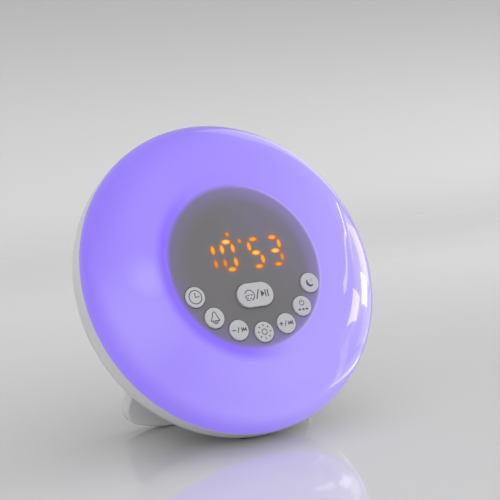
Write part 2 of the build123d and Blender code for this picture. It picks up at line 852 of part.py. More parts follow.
with BuildPart() as battery_door:
    with BuildSketch(side.offset(-door_length / 2)):
        with BuildLine():
            half = door_thickness / 2
            Line((door_axis_v, door_axis_depth + half), (door_top_v, door_axis_depth + half))
            Line((door_top_v, door_axis_depth + half), (door_top_v, door_axis_depth - half))
            Line((door_top_v, door_axis_depth - half), (door_axis_v, door_axis_depth - half))
            CenterArc((door_axis_v, door_axis_depth), half, 90, 180)
        make_face()
    extrude(amount=door_length)
    # Pins that turn in the bay's end walls
    with BuildSketch(side.offset(-door_length / 2 - door_clearance - door_pin_reach)):
        with Locations((door_axis_v, door_axis_depth)):
            Circle(door_pin_radius)
    extrude(amount=door_length + 2 * (door_clearance + door_pin_reach))
    # Latch tongue behind the free edge, and grip ribs outside it
    with BuildSketch(level(back_depth + door_thickness)):
        with Locations((0, door_top_v - door_latch_inset)):
            Rectangle(door_latch_width, door_latch_thickness)
    extrude(amount=door_latch_reach)
    with BuildSketch(level(back_depth)):
        first_grip = door_top_v - 2 * door_grip_pitch
        with Locations(*[(0, first_grip - i * door_grip_pitch) for i in range(door_grip_count)]):
            SlotOverall(door_grip_width, door_grip_thickness)
    extrude(amount=-door_grip_height)
save(battery_door, "battery_door")

# ---------------------------------------------------------------- power board
with BuildPart() as power_board:
    with BuildSketch(level(power_board_back)):
        with Locations(power_board_centre):
            Rectangle(*power_board_size)
        with power_post_places():
            Circle(board_screw_radius + hole_clearance, mode=Mode.SUBTRACT)
    extrude(amount=board_thickness)
save(power_board, "power_board")

with BuildPart() as power_socket:
    with BuildSketch(level(power_board_back)):
        with Locations((power_board_centre[0], socket_v)):
            RectangleRounded(socket_width, socket_height, socket_corner)
    extrude(amount=back_depth + socket_sunk - power_board_back)
    with BuildSketch(level(back_depth + socket_sunk)):
        with Locations((power_board_centre[0], socket_v)):
            inner_width = socket_width - 2 * socket_wall
            Rectangle(inner_width, socket_height - 2 * socket_wall)
            Rectangle(inner_width - 2 * socket_tongue_gap, socket_tongue, mode=Mode.SUBTRACT)
    extrude(amount=socket_depth, mode=Mode.SUBTRACT)
save(power_socket, "power_socket")

with BuildPart() as board_components:
    with BuildSketch(level(power_board_front)):
        with Locations(*capacitor_spots):
            Circle(capacitor_radius)
    extrude(amount=capacitor_height)
    with BuildSketch(level(power_board_front)):
        with Locations(chip_spot):
            Rectangle(chip_size[0], chip_size[1])
    extrude(amount=chip_size[2])
save(board_components, "board_components")

# Flat ribbon cable, swept along straight runs joined by arcs
ribbon_plane = Plane(origin=face.from_local_coords((0, ribbon_v, 0)), x_dir=face.x_dir,
                     z_dir=-face.y_dir)
ribbon_turn_top = pan_back - ribbon_bend
ribbon_turn_bottom = power_board_front + ribbon_plug_height

with BuildPart() as ribbon_cable:
    with BuildLine(ribbon_plane) as ribbon_path:
        FilletPolyline((ribbon_front_x, key_board_back), (ribbon_front_x, ribbon_turn_top),
                       (ribbon_rear_x, ribbon_turn_bottom),
                       (ribbon_rear_x, power_board_front), radius=ribbon_bend)
    with BuildSketch(level(key_board_back)):
        with Locations(ribbon_spot):
            Rectangle(ribbon_thickness, ribbon_width)
    sweep()
save(ribbon_cable, "ribbon_cable")

# ---------------------------------------------------------------- stand
trail_sin = sin(radians(stand_back_angle))
trail_cos = cos(radians(stand_back_angle))
# Paddle plane: x across, y up along the paddle to the hinge, z towards the bowl
paddle = Plane(origin=hinge, x_dir=(1, 0, 0), z_dir=(0, -trail_cos, -trail_sin))
paddle_rear = barrel_radius - stand_thickness
paddle_drop = (hinge.Z - pad_proud - paddle_rear * trail_sin) / trail_cos
foot_y = hinge.Y + hinge.Z * trail_sin / trail_cos - (paddle_rear + stand_thickness / 2) / trail_cos
neck = lug_inner_x - running_clearance
ground = Plane.XY

with BuildPart() as stand:
    with BuildSketch(paddle.offset(barrel_radius)) as outline:
        with BuildLine():
            foot_corner = (stand_foot, stand_foot_rise - paddle_drop)
            Polyline((0, -paddle_drop), (0, 0), (neck, 0), (neck, -stand_neck_drop),
                     (stand_shoulder, -stand_neck_drop), foot_corner)
            TangentArc((stand_flat, -paddle_drop), foot_corner, tangent=(1, 0))
            Line((stand_flat, -paddle_drop), (0, -paddle_drop))
        make_face()
        mirror(about=Plane.YZ)
        columns = outline.vertices().group_by(Axis.X)
        fillet(columns[0] + columns[-1], stand_foot_corner)
        columns = [v for v in outline.vertices() if abs(abs(v.X) - stand_shoulder) < seat_clearance]
        fillet(columns, stand_shoulder_corner)
    extrude(amount=-stand_thickness)
    across = stand.faces().filter_by(Axis((0, 0, 0), paddle.z_dir)).sort_by(Axis.Y)
    fillet(across[0].edges(), stand_edge)
    fillet(across[-1].edges(), stand_edge / 2)
    # Pocket in the rear, with upright ribs left standing in it
    with BuildSketch(paddle.offset(paddle_rear)):
        add(outline.sketch_local)
        offset(amount=-stand_wall)
        with Locations((0, 0)):
            Rectangle(4 * stand_foot, 2 * (barrel_radius + stand_wall), mode=Mode.SUBTRACT)
        with GridLocations(stand_rib_pitch, 0, stand_rib_count, 1):
            Rectangle(stand_rib, 4 * paddle_drop, mode=Mode.SUBTRACT)
    extrude(amount=stand_thickness - stand_wall, mode=Mode.SUBTRACT)
    # Level the foot above its rubber strip
    with BuildSketch(ground.offset(pad_proud)):
        Rectangle(4 * stand_foot, 4 * stand_foot)
    extrude(amount=-4 * stand_thickness, mode=Mode.SUBTRACT)
    # Barrel round the hinge pin
    with BuildSketch(side.offset(-neck)):
        with Locations((hinge_v, hinge_depth)):
            Circle(barrel_radius)
    extrude(amount=2 * neck)
    # Heel that stops against the bowl's back when the stand is out
    with BuildSketch(side.offset(-heel_width / 2)):
        with Locations((hinge_v, back_depth - stop_gap)):
            Rectangle(heel_length, hinge_gap + barrel_radius - stop_gap, align=(Align.MIN, Align.MAX))
    extrude(amount=heel_width)
    with BuildSketch(side):
        with Locations((hinge_v, hinge_depth)):
            Circle(pin_radius + pin_clearance)
    extrude(amount=neck, both=True, mode=Mode.SUBTRACT)
    # Groove for the rubber strip
    with BuildSketch(ground.offset(pad_proud + pad_seat)):
        with Locations((0, foot_y)):
            Rectangle(stand_pad_length, stand_pad_width)
    extrude(amount=-2 * pad_seat, mode=Mode.SUBTRACT)
save(stand, "stand")

with BuildPart() as stand_pad:
    with BuildSketch(ground):
        with Locations((0, foot_y)):
            Rectangle(stand_pad_length, stand_pad_width)
    extrude(amount=pad_proud + pad_seat)
save(stand_pad, "stand_pad")

with BuildPart() as hinge_pin:
    with BuildSketch(side):
        with Locations((hinge_v, hinge_depth)):
            Circle(pin_radius)
    extrude(amount=lug_inner_x + lug_width, both=True)
save(hinge_pin, "hinge_pin")

# ---------------------------------------------------------------- front foot
with BuildPart() as bowl_pad:
    with BuildSketch(bowl_foot):
        SlotOverall(bowl_pad_length - 2 * seat_clearance, bowl_pad_width - 2 * seat_clearance)
    extrude(amount=corner_radius / 2)
    add(pad_top_bowl, mode=Mode.SUBTRACT)
save(bowl_pad, "bowl_pad")
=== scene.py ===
"""A round sunrise alarm clock, dressed round its fixed frame.

New pieces are drawn flat, in metres, on the face's own plane: x runs to the right, y up the
leaning face and z out of it, with z = 0 at the seam between dome and bowl. The last step of
each leans it back into its place on the frame. Smoothed copies of the frame's own pieces are
in their place from the start.
"""

import json
import math

import bpy
from mathutils import Matrix, Quaternion, Vector


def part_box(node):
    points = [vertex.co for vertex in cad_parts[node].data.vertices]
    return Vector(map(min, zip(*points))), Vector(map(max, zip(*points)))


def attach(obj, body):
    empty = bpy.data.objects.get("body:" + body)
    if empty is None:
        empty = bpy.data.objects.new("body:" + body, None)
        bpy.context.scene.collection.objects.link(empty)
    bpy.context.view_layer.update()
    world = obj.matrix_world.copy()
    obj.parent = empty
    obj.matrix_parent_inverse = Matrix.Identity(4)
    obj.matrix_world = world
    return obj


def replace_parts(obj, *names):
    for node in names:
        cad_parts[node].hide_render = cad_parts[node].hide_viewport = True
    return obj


bl_info = {
    "name": "Sunrise Alarm Clock",
    "version": (1, 0, 0),
    "blender": (4, 5, 0),
    "location": "View3D > Sidebar > Alarm Clock",
    "description": "Models and finishes a round sunrise alarm clock on its frame",
    "category": "Object",
}

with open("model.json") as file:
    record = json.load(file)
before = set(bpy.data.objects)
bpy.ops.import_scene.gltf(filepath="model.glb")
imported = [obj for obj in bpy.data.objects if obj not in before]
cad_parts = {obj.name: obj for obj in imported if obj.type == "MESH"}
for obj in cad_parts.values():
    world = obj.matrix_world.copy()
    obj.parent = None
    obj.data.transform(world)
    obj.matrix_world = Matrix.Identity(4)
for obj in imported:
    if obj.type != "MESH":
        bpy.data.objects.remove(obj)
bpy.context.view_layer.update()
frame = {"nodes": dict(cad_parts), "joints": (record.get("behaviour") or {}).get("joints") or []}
MM = 0.001

# ---- places read from the frame
JOINTS = {joint["name"]: joint for joint in frame["joints"]}
FACE_NORMAL = -Vector(JOINTS["time_key_press"]["axis"]).normalized()
FACE_TURN = math.pi / 2 - math.asin(FACE_NORMAL.z)
RING_BOARD_DEPTH = -4.2 * MM
DOME_LOW, DOME_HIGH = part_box("front_dome")
RIM_RADIUS = (DOME_HIGH - DOME_LOW).x / 2
RIM_CENTRE = sum(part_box("led_ring_board"), Vector()) / 2 - FACE_NORMAL * RING_BOARD_DEPTH
FACE = Matrix.Translation(RIM_CENTRE) @ Matrix.Rotation(FACE_TURN, 4, "X")

RING_KEYS = ("time_key", "alarm_key", "minus_key", "light_key", "plus_key", "power_key",
             "sleep_key")


def flat_box(node):
    """Lowest and highest corner of a node, in the face's flat coordinates."""
    onto_face = FACE.inverted()
    points = [onto_face @ vertex.co for vertex in frame["nodes"][node].data.vertices]
    return [Vector([end(point[i] for point in points) for i in range(3)]) for end in (min, max)]


def key_spot(node):
    """Middle of a key on the face, at the seam's height."""
    low, high = flat_box(node)
    return Vector(((low.x + high.x) / 2, (low.y + high.y) / 2, 0))


KEY_LOW, KEY_HIGH = flat_box("light_key")
SNOOZE_TOP = flat_box("snooze_key")[1].z


# ---- what a user would change
def length(name, description, millimetres):
    """A size in millimetres, shown with the scene's own unit."""
    return bpy.props.FloatProperty(name=name, description=description, unit="LENGTH",
                                   default=millimetres * MM, precision=5)


def view_angle(name, description, degrees):
    """An angle, given in degrees."""
    return bpy.props.FloatProperty(name=name, description=description, subtype="ANGLE",
                                   default=math.radians(degrees))


def colour(name, description, red, green, blue):
    """A colour, given as it looks on a screen, from 0 to 255."""
    return bpy.props.FloatVectorProperty(
        name=name, description=description, subtype="COLOR", size=3, min=0, max=1,
        default=[linear(red), linear(green), linear(blue)])


def linear(value):
    """Scene-linear share of a screen colour's channel."""
    share = value / 255
    return share / 12.92 if share <= 0.04045 else ((share + 0.055) / 1.055) ** 2.4


class DomeSizes(bpy.types.PropertyGroup):
    """The milky front dome."""

    wall: length("Wall", "Thickness of the dome", 2.4)
    peak_radius: length("Peak radius", "Ring where the dome stands highest", 60.4)
    peak_height: length("Peak height", "Height of that ring over the seam", 19.7)
    brow_radius: length("Brow radius", "Where the inner slope meets the panel's bevel", 46.4)
    brow_height: length("Brow height", "Height there", 19.3)
    panel_radius: length("Panel radius", "Where the bevel meets the flat panel", 44.6)
    panel_height: length("Panel height", "Height of the flat panel", 18.9)
    bevel_blend: length("Bevel blend", "Rounding between bevel and panel", 1.5)
    tube_radius: length("Tube radius", "Dark tube behind the panel, where the light ends", 43.8)
    lip_length: length("Lip length", "Lip that plugs into the bowl", 3.0)
    lip_step: length("Lip step", "How far the lip stands in from the rim", 2.35)
    lip_wall: length("Lip wall", "Thickness of the lip", 1.7)
    edge: length("Edge", "Rounding of the rim's edge", 0.4)
    steps: bpy.props.IntProperty(name="Steps", description="Steps round the dome", default=192)


class KeySizes(bpy.types.PropertyGroup):
    """The eight keys on the panel."""

    radius: length("Radius", "Radius of a round key", 5.45)
    top: length("Top", "Height of a round key over the seam", KEY_HIGH.z / MM)
    edge: length("Edge", "Rounding of a key's edge", 0.5)
    flange: length("Flange", "Reach of a key's flange past its cap", 0.9)
    flange_wall: length("Flange wall", "Thickness of the flange", 1.2)
    flange_top: length("Flange top", "Height of the flange's top", 16.4)
    stem_radius: length("Stem radius", "Radius of the stem behind a key", 1.6)
    stem_end: length("Stem end", "Height of the stem's end", KEY_LOW.z / MM)
    gap: length("Gap", "Gap round each key", 0.3)
    snooze_length: length("Snooze length", "Length of the long key", 21.2)
    snooze_height: length("Snooze height", "Height of the long key", 12.9)
    snooze_top: length("Snooze top", "Height of the long key over the seam", SNOOZE_TOP / MM)
    print_height: length("Print", "How far the printed marks stand proud", 0.03)
    stroke: length("Stroke", "Width of a mark's lines", 0.42)


class FigureSizes(bpy.types.PropertyGroup):
    """The shown figures, as they glow through the panel."""

    pitch: length("Pitch", "Between the two figures of a pair", 11.8)
    pair_reach: length("Pair reach", "Middle of the panel to a pair's middle", 14.0)
    rise: length("Rise", "Middle of the figures above the panel's middle", 6.7)
    width: length("Width", "Between a figure's upright bars", 6.4)
    height: length("Height", "Between a figure's top and bottom bars", 14.9)
    bar_length: length("Bar length", "Half the length of a bar's glow", 4.0)
    bar_width: length("Bar width", "Half the width of a bar's glow", 2.0)
    dot_radius: length("Dot radius", "Radius of a dot's glow", 2.1)
    shift_x: length("Aside", "Glow on the panel's surface, aside of its bar", -1.0)
    shift_y: length("Above", "Glow on the panel's surface, above its bar", -0.5)


class LampColours(bpy.types.PropertyGroup):
    """The finishes of the lamp."""

    violet: colour("Violet", "The lit dome", 160, 137, 252)
    # Painted light: the glow made paler low on the right and at a painted highlight left of the
    # panel
    painted_light_violet: colour("Pale violet", "The lit dome, below and to the right", 175, 157, 255)
    # Painted shade: the glow made deeper at the dome's edges and by the panel's left edge
    painted_shade_violet: colour("Deep violet", "The lit dome's deeper edges", 138, 108, 247)
    panel: colour("Panel", "The unlit panel", 113, 111, 113)
    # Painted light: violet light from the lit dome, painted on the panel near its edge
    panel_spill_light: colour("Panel edge", "The panel near the lit dome", 136, 123, 174)
    key: colour("Key", "The keys", 186, 186, 189)
    ink: colour("Ink", "The marks on the keys", 62, 61, 66)
    # Painted light: violet light from the dome, painted on the marks towards the right
    ink_in_violet_light: colour("Ink in violet light", "The marks near the bright side of the dome", 76, 64, 128)
    white: colour("White", "The bowl, the stand and the battery door", 214, 214, 216)
    deep_amber: colour("Deep amber", "The edges of the glowing figures", 228, 118, 22)
    amber: colour("Amber", "The glowing figures", 255, 168, 56)
    hot_amber: colour("Hot amber", "The middle of the brightest bars", 255, 226, 124)


class StudioSettings(bpy.types.PropertyGroup):
    """Camera, floor and lamps."""

    distance: length("Distance", "Camera to the rim's middle", 671.7)
    shift_x: length("Aside", "How far the camera stands aside of it", 9.92)
    shift_y: length("Above", "How far the camera stands above it", 13.85)
    azimuth: view_angle("Azimuth", "Camera's turn round the lamp", -30.3)
    elevation: view_angle("Elevation", "Camera's height", 11.0)
    lens: bpy.props.FloatProperty(name="Lens", description="Focal length in millimetres",
                                  default=91.0)
    lamp_distance: length("Lamp distance", "Lamps and window to the rim's middle", 1300.0)
    floor: colour("Floor", "The floor", 208, 208, 207)
    wall: colour("Wall", "The backdrop above the floor", 164, 164, 164)


# ---- modelling by hand, in code
LATHE_MERGE = 0.002 * MM        # closer points of a turned piece are one
SHELL_MERGE = 0.001 * MM        # closer points of a frame's piece are one


def clear_selection():
    """Leaves edit mode with nothing selected."""
    if bpy.context.object and bpy.context.object.mode != "OBJECT":
        leave_edit()
    bpy.ops.object.select_all(action="DESELECT")


def pick(piece):
    """Makes a piece the only selected and the active one."""
    clear_selection()
    piece.select_set(True)
    bpy.context.view_layer.objects.active = piece


def enter_edit(action="SELECT"):
    """Enters edit mode with the whole piece selected, or none of it."""
    bpy.ops.object.mode_set(mode="EDIT")
    bpy.ops.mesh.select_all(action=action)


def leave_edit():
    """Goes back to object mode."""
    bpy.ops.object.mode_set(mode="OBJECT")


def named(piece, name):
    """Gives a piece and its mesh their name."""
    piece.name = name
    piece.data.name = name
    return piece


def joined(pieces, name):
    """Joins pieces into the first one."""
    pick(pieces[0])
    for piece in pieces:
        piece.select_set(True)
    if len(pieces) > 1:
        bpy.ops.object.join()
    return named(pieces[0], name)


def copied(piece, name):
    """A copy of a piece with its own mesh."""
    copy = piece.copy()
    copy.data = piece.data.copy()
    bpy.context.collection.objects.link(copy)
    return named(copy, name)


def lathe(name, profile, steps):
    """Turns (radius, height) points, which start and end on the face's axis, about it."""
    clear_selection()
    bpy.ops.mesh.primitive_plane_add(size=MM, location=(0, 0, 0))
    piece = named(bpy.context.object, name)
    enter_edit()
    bpy.ops.mesh.merge(type="CENTER")
    bpy.ops.transform.translate(value=(profile[0][0], 0, profile[0][1]))
    for (r0, z0), (r1, z1) in zip(profile, profile[1:]):
        bpy.ops.mesh.extrude_vertices_move(
            TRANSFORM_OT_translate={"value": (r1 - r0, 0, z1 - z0)})
    bpy.ops.mesh.select_all(action="SELECT")
    bpy.ops.mesh.spin(steps=steps, angle=2 * math.pi, center=(0, 0, 0), axis=(0, 0, 1))
    bpy.ops.mesh.select_all(action="SELECT")
    bpy.ops.mesh.remove_doubles(threshold=LATHE_MERGE)
    bpy.ops.mesh.normals_make_consistent(inside=False)
    leave_edit()
    return piece


def arc(middle, radius_across, radius_up, start, end, steps):
    """Points of an ellipse's arc, both ends included, angles in degrees."""
    points = []
    for i in range(steps + 1):
        angle = math.radians(start + (end - start) * i / steps)
        points.append((middle[0] + radius_across * math.cos(angle),
                       middle[1] + radius_up * math.sin(angle)))
    return points


def prism(points, low, high):
    """A flat outline of (x, y) points, extruded from one height to another."""
    clear_selection()
    bpy.ops.mesh.primitive_circle_add(vertices=len(points), radius=MM, fill_type="NGON")
    piece = bpy.context.object
    for vertex, (x, y) in zip(piece.data.vertices, points):
        vertex.co = (x, y, low)
    enter_edit()
    bpy.ops.mesh.extrude_region_move(TRANSFORM_OT_translate={"value": (0, 0, high - low)})
    bpy.ops.mesh.select_all(action="SELECT")
    bpy.ops.mesh.normals_make_consistent(inside=False)
    leave_edit()
    return piece


def smooth(piece, degrees):
    """Smooth shading that keeps sharper edges, with flat faces left flat."""
    pick(piece)
    bpy.ops.object.shade_smooth_by_angle(angle=math.radians(degrees))
    modifier = piece.modifiers.new("even_normals", "WEIGHTED_NORMAL")
    modifier.keep_sharp = True
    bpy.ops.object.modifier_apply(modifier=modifier.name)


def cut(piece, cutter):
    """Cuts a solid out of a piece and uses it up."""
    pick(piece)
    modifier = piece.modifiers.new("cut", "BOOLEAN")
    modifier.operation = "DIFFERENCE"
    modifier.object = cutter
    modifier.solver = "EXACT"
    bpy.ops.object.modifier_apply(modifier=modifier.name)
    bpy.data.objects.remove(cutter)


def set_finish(piece, finish):
    """Gives a piece its only material."""
    piece.data.materials.clear()
    piece.data.materials.append(bpy.data.materials[finish])


def place(piece, body, finish, matrix=FACE):
    """Leans a flat piece into its place, finishes it and hangs it on its body."""
    pick(piece)
    bpy.context.view_layer.update()
    piece.matrix_world = matrix @ piece.matrix_world
    bpy.context.view_layer.update()
    bpy.ops.object.transform_apply(location=True, rotation=True, scale=True)
    set_finish(piece, finish)
    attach(piece, body)
    return piece


def place_at_key(piece, key, finish):
    """Sets a key, or the mark on it, in its place on the face."""
    return place(piece, key, finish, FACE @ Matrix.Translation(key_spot(key)))


# ---- shader nodes
ORIGIN = (0, 0, 0)
FLAT = (1, 1, 0)                # leaves a point's height out
BLACK, WHITE = (0, 0, 0), (1, 1, 1)
COLOUR_SOCKETS, COLOUR_RESULT = (6, 7), 2   # of a Mix node that mixes colours


def feed(tree, value, socket):
    """Links a socket, or sets a plain value."""
    if isinstance(value, bpy.types.NodeSocket):
        tree.links.new(value, socket)
    else:
        socket.default_value = value


def feed_all(tree, node, values):
    """Feeds a node's inputs by their names."""
    for name, value in values.items():
        feed(tree, value, node.inputs[name])


def maths(tree, operation, *values, clamp=False):
    """A Math node on sockets or numbers, and its result."""
    node = tree.nodes.new("ShaderNodeMath")
    node.operation = operation
    node.use_clamp = clamp
    for socket, value in zip(node.inputs, values):
        feed(tree, value, socket)
    return node.outputs[0]


def all_together(tree, operation, values):
    """The result of one operation on all the values."""
    result, *others = values
    for value in others:
        result = maths(tree, operation, result, value)
    return result


def vector_maths(tree, operation, *values):
    """A Vector Math node on sockets or vectors, and its vector or value."""
    node = tree.nodes.new("ShaderNodeVectorMath")
    node.operation = operation
    for socket, value in zip(node.inputs, values):
        feed(tree, value, socket)
    return node.outputs["Value" if operation in ("LENGTH", "DOT_PRODUCT") else "Vector"]


def ramp(tree, value, low, high, result_low=0.0, result_high=1.0):
    """Smooth rise of a value from one number to another."""
    node = tree.nodes.new("ShaderNodeMapRange")
    node.interpolation_type = "SMOOTHSTEP"
    for socket, item in zip(node.inputs, (value, low, high, result_low, result_high)):
        feed(tree, item, socket)
    return node.outputs[0]


def blend_colours(tree, share, first, second):
    """Mixes two colours, each a socket or its red, green and blue, by a share."""
    node = tree.nodes.new("ShaderNodeMix")
    node.data_type = "RGBA"
    feed(tree, share, node.inputs["Factor"])
    for tone, socket in zip((first, second), COLOUR_SOCKETS):
        if not isinstance(tone, bpy.types.NodeSocket):
            tone = (*tone, 1.0)
        feed(tree, tone, node.inputs[socket])
    return node.outputs[COLOUR_RESULT]


def scaled(tone, factor):
    """A colour made darker or brighter."""
    return tuple(channel * factor for channel in tone)


def toned(tree, share, tone, darkest):
    """A colour that runs from a darker share of itself up to itself."""
    return blend_colours(tree, share, scaled(tone, darkest), tone)


def noise(tree, point, scale, detail):
    """Even noise at a point."""
    node = tree.nodes.new("ShaderNodeTexNoise")
    feed_all(tree, node, {"Vector": point, "Scale": scale, "Detail": detail})
    return node.outputs["Fac"]


# ---- shader groups
def new_group(name, inputs):
    """A shader group with its inputs and their defaults, and what they give."""
    group = bpy.data.node_groups.new(name, "ShaderNodeTree")
    for socket_name, default in inputs.items():
        kind = "NodeSocketVector" if isinstance(default, tuple) else "NodeSocketFloat"
        socket = group.interface.new_socket(socket_name, in_out="INPUT", socket_type=kind)
        socket.default_value = default
    return group, group.nodes.new("NodeGroupInput").outputs


def close_group(group, results):
    """Gives a group its outputs."""
    for name, socket in results.items():
        kind = "NodeSocketVector" if socket.type == "VECTOR" else "NodeSocketFloat"
        group.interface.new_socket(name, in_out="OUTPUT", socket_type=kind)
    feed_all(group, group.nodes.new("NodeGroupOutput"), results)
    return group


def add_group(tree, group, values):
    """A group in a material or in another group, fed with its own values, and its outputs."""
    node = tree.nodes.new("ShaderNodeGroup")
    node.node_tree = group
    feed_all(tree, node, values)
    return node.outputs


PEEL_DEPTH = 0.02 * MM


def moulding_group():
    """Fine orange peel and soft cloudiness of moulded plastic."""
    group, given = new_group("moulded_surface", {
        "Point": ORIGIN, "Peel Scale": 900.0, "Cloud Scale": 25.0, "Peel": 0.05,
        "Roughness": 0.3, "Spread": 0.08})
    peel = noise(group, given["Point"], given["Peel Scale"], detail=2.0)
    cloud = noise(group, given["Point"], given["Cloud Scale"], detail=4.0)
    centred = maths(group, "SUBTRACT", cloud, 0.5)
    shift = maths(group, "MULTIPLY", centred, given["Spread"])
    bump = group.nodes.new("ShaderNodeBump")
    feed_all(group, bump, {"Distance": PEEL_DEPTH, "Strength": given["Peel"], "Height": peel})
    return close_group(group, {
        "Roughness": maths(group, "ADD", given["Roughness"], shift, clamp=True),
        "Cloud": cloud, "Normal": bump.outputs["Normal"]})


CORE_REACH = (1.0, 0.2)         # of a bar's half length and half width
HAZE_REACH = (6.0, 0.0)         # millimetres from a bar's middle


def glow_bar_group():
    """One glowing bar or dot behind milky plastic: an oval glow and the haze round it."""
    group, given = new_group("glow_bar", {
        "Point": ORIGIN, "Middle": ORIGIN, "Scale": FLAT, "Strength": 1.0})
    offset = vector_maths(group, "SUBTRACT", given["Point"], given["Middle"])
    glows = {}
    for name, scale, reach in (("Core", given["Scale"], CORE_REACH), ("Haze", FLAT, HAZE_REACH)):
        distance = vector_maths(group, "LENGTH", vector_maths(group, "MULTIPLY", offset, scale))
        glows[name] = maths(group, "MULTIPLY", ramp(group, distance, *reach), given["Strength"])
    return close_group(group, glows)


FIGURE_BARS = {                 # right, up, upright
    "top": (0, 1, False), "upper_left": (-1, 0.5, True), "upper_right": (1, 0.5, True),
    "middle": (0, 0, False), "lower_left": (-1, -0.5, True), "lower_right": (1, -0.5, True),
    "bottom": (0, -1, False),
}
BRIGHT, EVEN, FAINT = 1.3, 0.95, 0.65
SHOWN_FIGURES = (
    {"upper_right": EVEN, "lower_right": FAINT},
    {"top": BRIGHT, "upper_left": 1.1, "upper_right": EVEN, "lower_left": FAINT,
     "lower_right": EVEN, "bottom": EVEN},
    {"top": 0.85, "upper_left": EVEN, "middle": BRIGHT, "lower_right": EVEN, "bottom": 0.85},
    {"top": EVEN, "upper_right": EVEN, "middle": BRIGHT, "lower_right": FAINT, "bottom": 0.75},
)
SMALL_DOTS = ((0.0, 7.2), (-6.2, 11.5))   # upper colon dot and alarm dot, from the figures' middle


def figure_marks(sizes):
    """Every lit bar and dot as (middle, half width, half height, strength), in millimetres."""
    half_width, half_height, half_pitch = (
        size / MM / 2 for size in (sizes.width, sizes.height, sizes.pitch))
    pair, aside, along, across, dot = (
        size / MM for size in (sizes.pair_reach, sizes.shift_x, sizes.bar_length,
                               sizes.bar_width, sizes.dot_radius))
    rise = (sizes.rise + sizes.shift_y) / MM
    centres = (-pair - half_pitch, -pair + half_pitch, pair - half_pitch, pair + half_pitch)
    marks = []
    for centre, lit in zip(centres, SHOWN_FIGURES):
        for bar, strength in lit.items():
            right, up, upright = FIGURE_BARS[bar]
            point = (centre + aside + right * half_width, rise + up * half_height)
            reach = (across, along) if upright else (along, across)
            marks.append((point, *reach, strength))
    for x, y in SMALL_DOTS:
        marks.append(((x + aside, rise + y), dot, dot, FAINT))
    return marks


def figures_group(sizes):
    """All lit bars together."""
    bar = glow_bar_group()
    group, given = new_group("shown_figures", {"Point": ORIGIN})
    glows = [add_group(group, bar, {
        "Point": given["Point"], "Middle": (x, y, 0),
        "Scale": (1 / half_width, 1 / half_height, 0), "Strength": strength})
        for (x, y), half_width, half_height, strength in figure_marks(sizes)]
    return close_group(group, {
        name: all_together(group, "MAXIMUM", [glow[name] for glow in glows])
        for name in ("Core", "Haze")})


FACE_WAYS = {                   # directions over the face, x to the right and y up it
    "left": (-1, 0, 0), "low_left": (-0.94, -0.34, 0), "high_left": (-0.65, 0.76, 0),
    "right": (0.93, 0.37, 0), "low_right": (0.87, -0.5, 0), "high_right": (0.8, 0.6, 0),
}
# Middle of a lighter patch of painted light, in millimetres
PAINTED_LIGHT_PATCH = (-66, -22, 0)
CREASE_STEP = 0.5               # millimetres past the tube
# Each output is the strongest of its rows, and a row the product of its slopes. A slope is a
# measure, where it starts and where it ends in millimetres, and its strength at both, if not
# 0 and 1.
# Lit is the lamp's own glow and Gloss the coat's weight; the other outputs paint light and shade
# over the glow, or dim it near the rim.
GLOW_AND_PAINTED_LIGHT = {
    "Lit": ((("past_tube", -2.0, 2.2),),),
    # Painted light: paler low on the right, at a painted highlight left of the panel and at a
    # lighter patch below it
    "Pale": ((("low_right", -42.0, 58.0),),
             (("from_spot", 17.0, 2.0),),
             (("from_patch", 36.0, 4.0, 0.0, 0.6),)),
    # Painted shade: deeper by the panel's lower left edge and near the rim on the left
    "Deep": ((("past_tube", 9.2, 2.2), ("low_left", -4.0, 36.0)),
             (("from_rim", 8.0, -1.0, 0.0, 0.75), ("high_right", 20.0, -60.0)),
             (("from_rim", 24.0, 2.0, 0.0, 0.6), ("high_left", 40.0, 74.0))),
    # The glow made dimmer near the rim on the right
    "Rim Dimming": ((("from_rim", 14.0, 0.0), ("right", -10.0, 66.0)),),
    # Painted light: violet light from the dome on the panel's edge, most on the right, and more on
    # its upper right
    "Tint": ((("past_tube", -13.0, -1.0), ("left", 40.0, -28.0, 0.3, 1.0)),
             (("high_right", -6.0, 44.0, 0.0, 0.32),)),
    # Painted highlight along the panel's crease, on the right
    "Crease Highlight": ((("off_crease", 1.1, 0.0), ("left", 10.0, -30.0)),),
    "Gloss": ((("past_tube", 5.0, 11.0, 0.12, 0.95),),),
}


def glow_and_painted_light_group():
    """Where the dome glows: all round the panel. Painted light and shade lie over the glow: paler
    low on the right and at a painted highlight, deeper at its edges, violet light on the panel's
    edge and a highlight on its crease.
    """
    # The spot is the middle of a painted highlight left of the panel
    group, given = new_group("glow_and_painted_light", {
        "Point": ORIGIN, "Tube Middle": (-0.6, 0, 0), "Tube Radius": 43.8, "Rim Radius": 85.0,
        "Highlight Spot": (-58, -2, 0)})
    flat = vector_maths(group, "MULTIPLY", given["Point"], FLAT)
    distance = {name: vector_maths(group, "LENGTH", vector_maths(group, "SUBTRACT", flat, point))
                for name, point in (("tube", given["Tube Middle"]), ("middle", ORIGIN),
                                    ("spot", given["Highlight Spot"]), ("patch", PAINTED_LIGHT_PATCH))}
    past_tube = maths(group, "SUBTRACT", distance["tube"], given["Tube Radius"])
    past_crease = maths(group, "SUBTRACT", past_tube, CREASE_STEP)
    measures = {name: vector_maths(group, "DOT_PRODUCT", flat, way)
                for name, way in FACE_WAYS.items()}
    measures.update(
        past_tube=past_tube, off_crease=maths(group, "ABSOLUTE", past_crease),
        from_rim=maths(group, "SUBTRACT", given["Rim Radius"], distance["middle"]),
        from_spot=distance["spot"], from_patch=distance["patch"])
    results = {}
    for output, rows in GLOW_AND_PAINTED_LIGHT.items():
        shares = [all_together(group, "MULTIPLY",
                               [ramp(group, measures[name], *slope) for name, *slope in row])
                  for row in rows]
        results[output] = all_together(group, "MAXIMUM", shares)
    return close_group(group, results)


